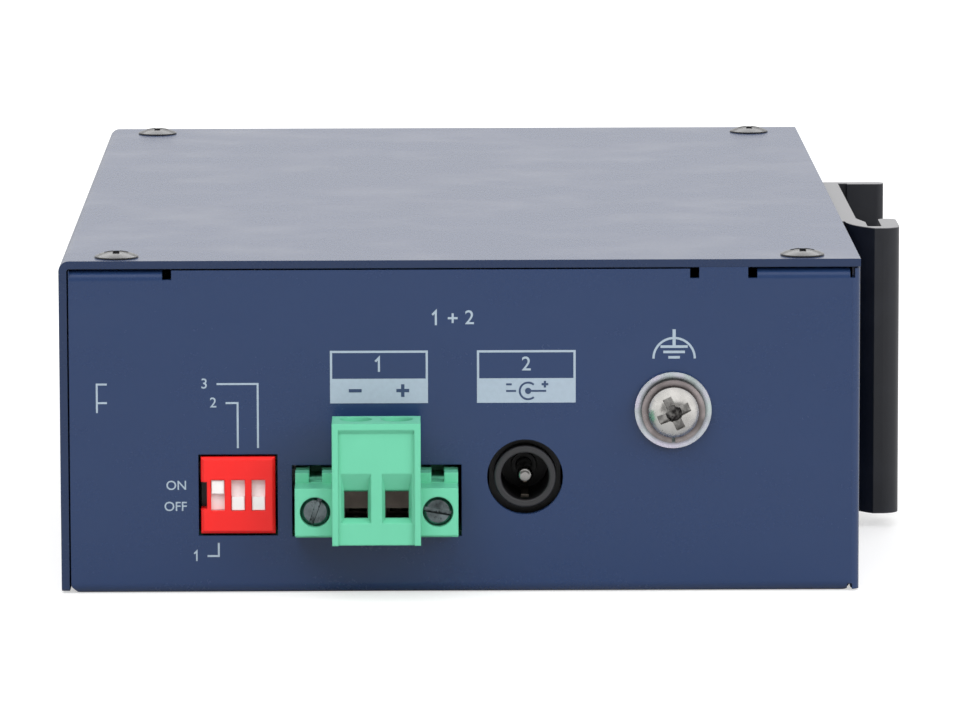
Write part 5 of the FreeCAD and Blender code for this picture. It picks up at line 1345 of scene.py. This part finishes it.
# Studio
@dataclass(frozen=True)
class SoftLamp:
    """A soft rectangular lamp. Its place and size are in metres, its power in watts."""

    name: str
    place: Trio
    size: Pair
    power: float
    mirrored: bool = True

    def hang(self, target: Point) -> None:
        """Hang the lamp.

        Args:
            target: the point in metres that it faces.
        """
        light = bpy.data.lights.new(self.name, "AREA")
        light.shape = "RECTANGLE"
        light.size, light.size_y = self.size
        light.energy = self.power
        lamp = bpy.data.objects.new(self.name, light)
        lamp.visible_glossy = self.mirrored
        aim = (Vector(target) - Vector(self.place)).to_track_quat("-Z", "Y").to_matrix().to_4x4()
        lamp.matrix_world = Matrix.Translation(self.place) @ aim
        bpy.context.scene.collection.objects.link(lamp)


@dataclass
class Studio:
    """Pale floor and surroundings, soft lamps and a long lens.

    The lens and its sensor are in millimetres, other lengths in metres and angles in radians.
    """

    focal_length: float = 258.2
    sensor: float = 36.0
    nearest: float = 0.01
    eye: Trio = (-0.005239, -0.925527, 0.152398)
    pitch: float = 0.1436
    yaw: float = -0.0090
    roll: float = -0.0037
    target: Trio = (0.0, 0.0, 0.02)
    lamps: tuple[SoftLamp, ...] = (
        SoftLamp("key", (-0.3, -0.8, 0.95), (1.1, 0.8), 9.0, mirrored=False),
        SoftLamp("fill", (0.8, -0.7, 0.5), (0.7, 0.7), 6.5, mirrored=False),
        SoftLamp("back", (0.1, 0.9, 0.9), (1.2, 0.6), 6.0),
    )
    glow: float = 0.62
    floor_reach: float = 3.0
    floor_gap: float = 0.00005
    floor_tone: float = 0.55
    floor_glow: float = 0.55
    card_reach: float = 1.6
    card_low: float = -0.2
    card_high: float = 1.1
    card_behind: float = 0.5
    card_tone: float = 0.02
    card_glow: float = 0.2

    def camera(self) -> None:
        """Level camera that looks along +Y, then pitched down, turned and rolled."""
        lens = bpy.data.cameras.new("camera")
        lens.lens = self.focal_length
        lens.sensor_width = self.sensor
        lens.clip_start = self.nearest
        camera = bpy.data.objects.new("camera", lens)
        bpy.context.scene.collection.objects.link(camera)
        level = Matrix(((1, 0, 0), (0, 0, -1), (0, 1, 0)))
        turn = (
            Matrix.Rotation(self.roll, 3, "Z")
            @ Matrix.Rotation(self.yaw, 3, "Y")
            @ Matrix.Rotation(self.pitch, 3, "X")
        ) @ level
        right, down, forward = turn
        axes = Matrix((right, -down, -forward)).transposed()
        camera.matrix_world = Matrix.Translation(self.eye) @ axes.to_4x4()
        bpy.context.scene.camera = camera

    def surroundings(self) -> None:
        """White to the eye and in reflections, a soft grey glow on matt surfaces."""
        world = bpy.data.worlds.new("surroundings")
        bpy.context.scene.world = world
        world.use_nodes = True
        graph = Graph(world.node_tree)
        seen = graph.ray(Ray.CAMERA).larger(graph.ray(Ray.GLOSSY)).larger(graph.ray(Ray.TRANSMITTED))
        background = world.node_tree.nodes["Background"]
        graph.feed(background.inputs["Color"], rgba(grey(1.0)))
        graph.feed(background.inputs["Strength"], seen * (1.0 - self.glow) + self.glow)

    def panel(self, name: str, corners: Sequence[Point], finish: StudioCard) -> Piece:
        """A flat stage panel of one face.

        Args:
            name: of the panel.
            corners: places in metres, in order round the panel.
            finish: its one finish.

        Returns:
            The panel, which is part of the stage and not of the switch.
        """
        piece = new_piece(name, np.array(corners), [list(range(len(corners)))])
        piece.data.materials.append(finish.material())
        return piece

    def floor(self) -> None:
        """Pale floor, lifted to white for the eye, that keeps a soft shadow."""
        far = self.floor_reach
        low = -self.floor_gap
        corners = [(x, y, low) for x, y in rectangle(-far, far, -far, far)]
        finish = StudioCard("floor_white", grey(self.floor_tone), glow=self.floor_glow, for_the_eye=True)
        self.panel("floor", corners, finish)

    def card(self) -> None:
        """Dim card behind the camera, hidden from the eye and from matt surfaces."""
        y = self.eye[1] - self.card_behind
        far = self.card_reach
        corners = [(x, y, z) for x, z in rectangle(-far, far, self.card_low, self.card_high)]
        finish = StudioCard("card_grey", grey(self.card_tone), glow=self.card_glow)
        card = self.panel("dim_card", corners, finish)
        card.visible_camera = False
        card.visible_diffuse = False
        card.visible_shadow = False

    def build(self) -> None:
        """Set everything up."""
        bpy.context.scene.view_settings.view_transform = "Standard"
        self.camera()
        self.surroundings()
        self.floor()
        self.card()
        for lamp in self.lamps:
            lamp.hang(self.target)
            log.info("%s lamp hung", lamp.name)


def main() -> None:
    """Build the classes in order."""
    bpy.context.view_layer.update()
    wardrobe = Wardrobe()
    parts = Case, Terminal, SlideSwitch, PowerJack, EarthScrew, RailClip, PortWall, Board
    prints = SupplyPrint, SwitchPrint, EarthPrint
    for assembly in (*parts, *prints):
        log.info("building %s", assembly.__name__)
        assembly(wardrobe).build()
    Studio().build()


if __name__ == "__main__":
    logging.basicConfig(level=logging.INFO)
    main()
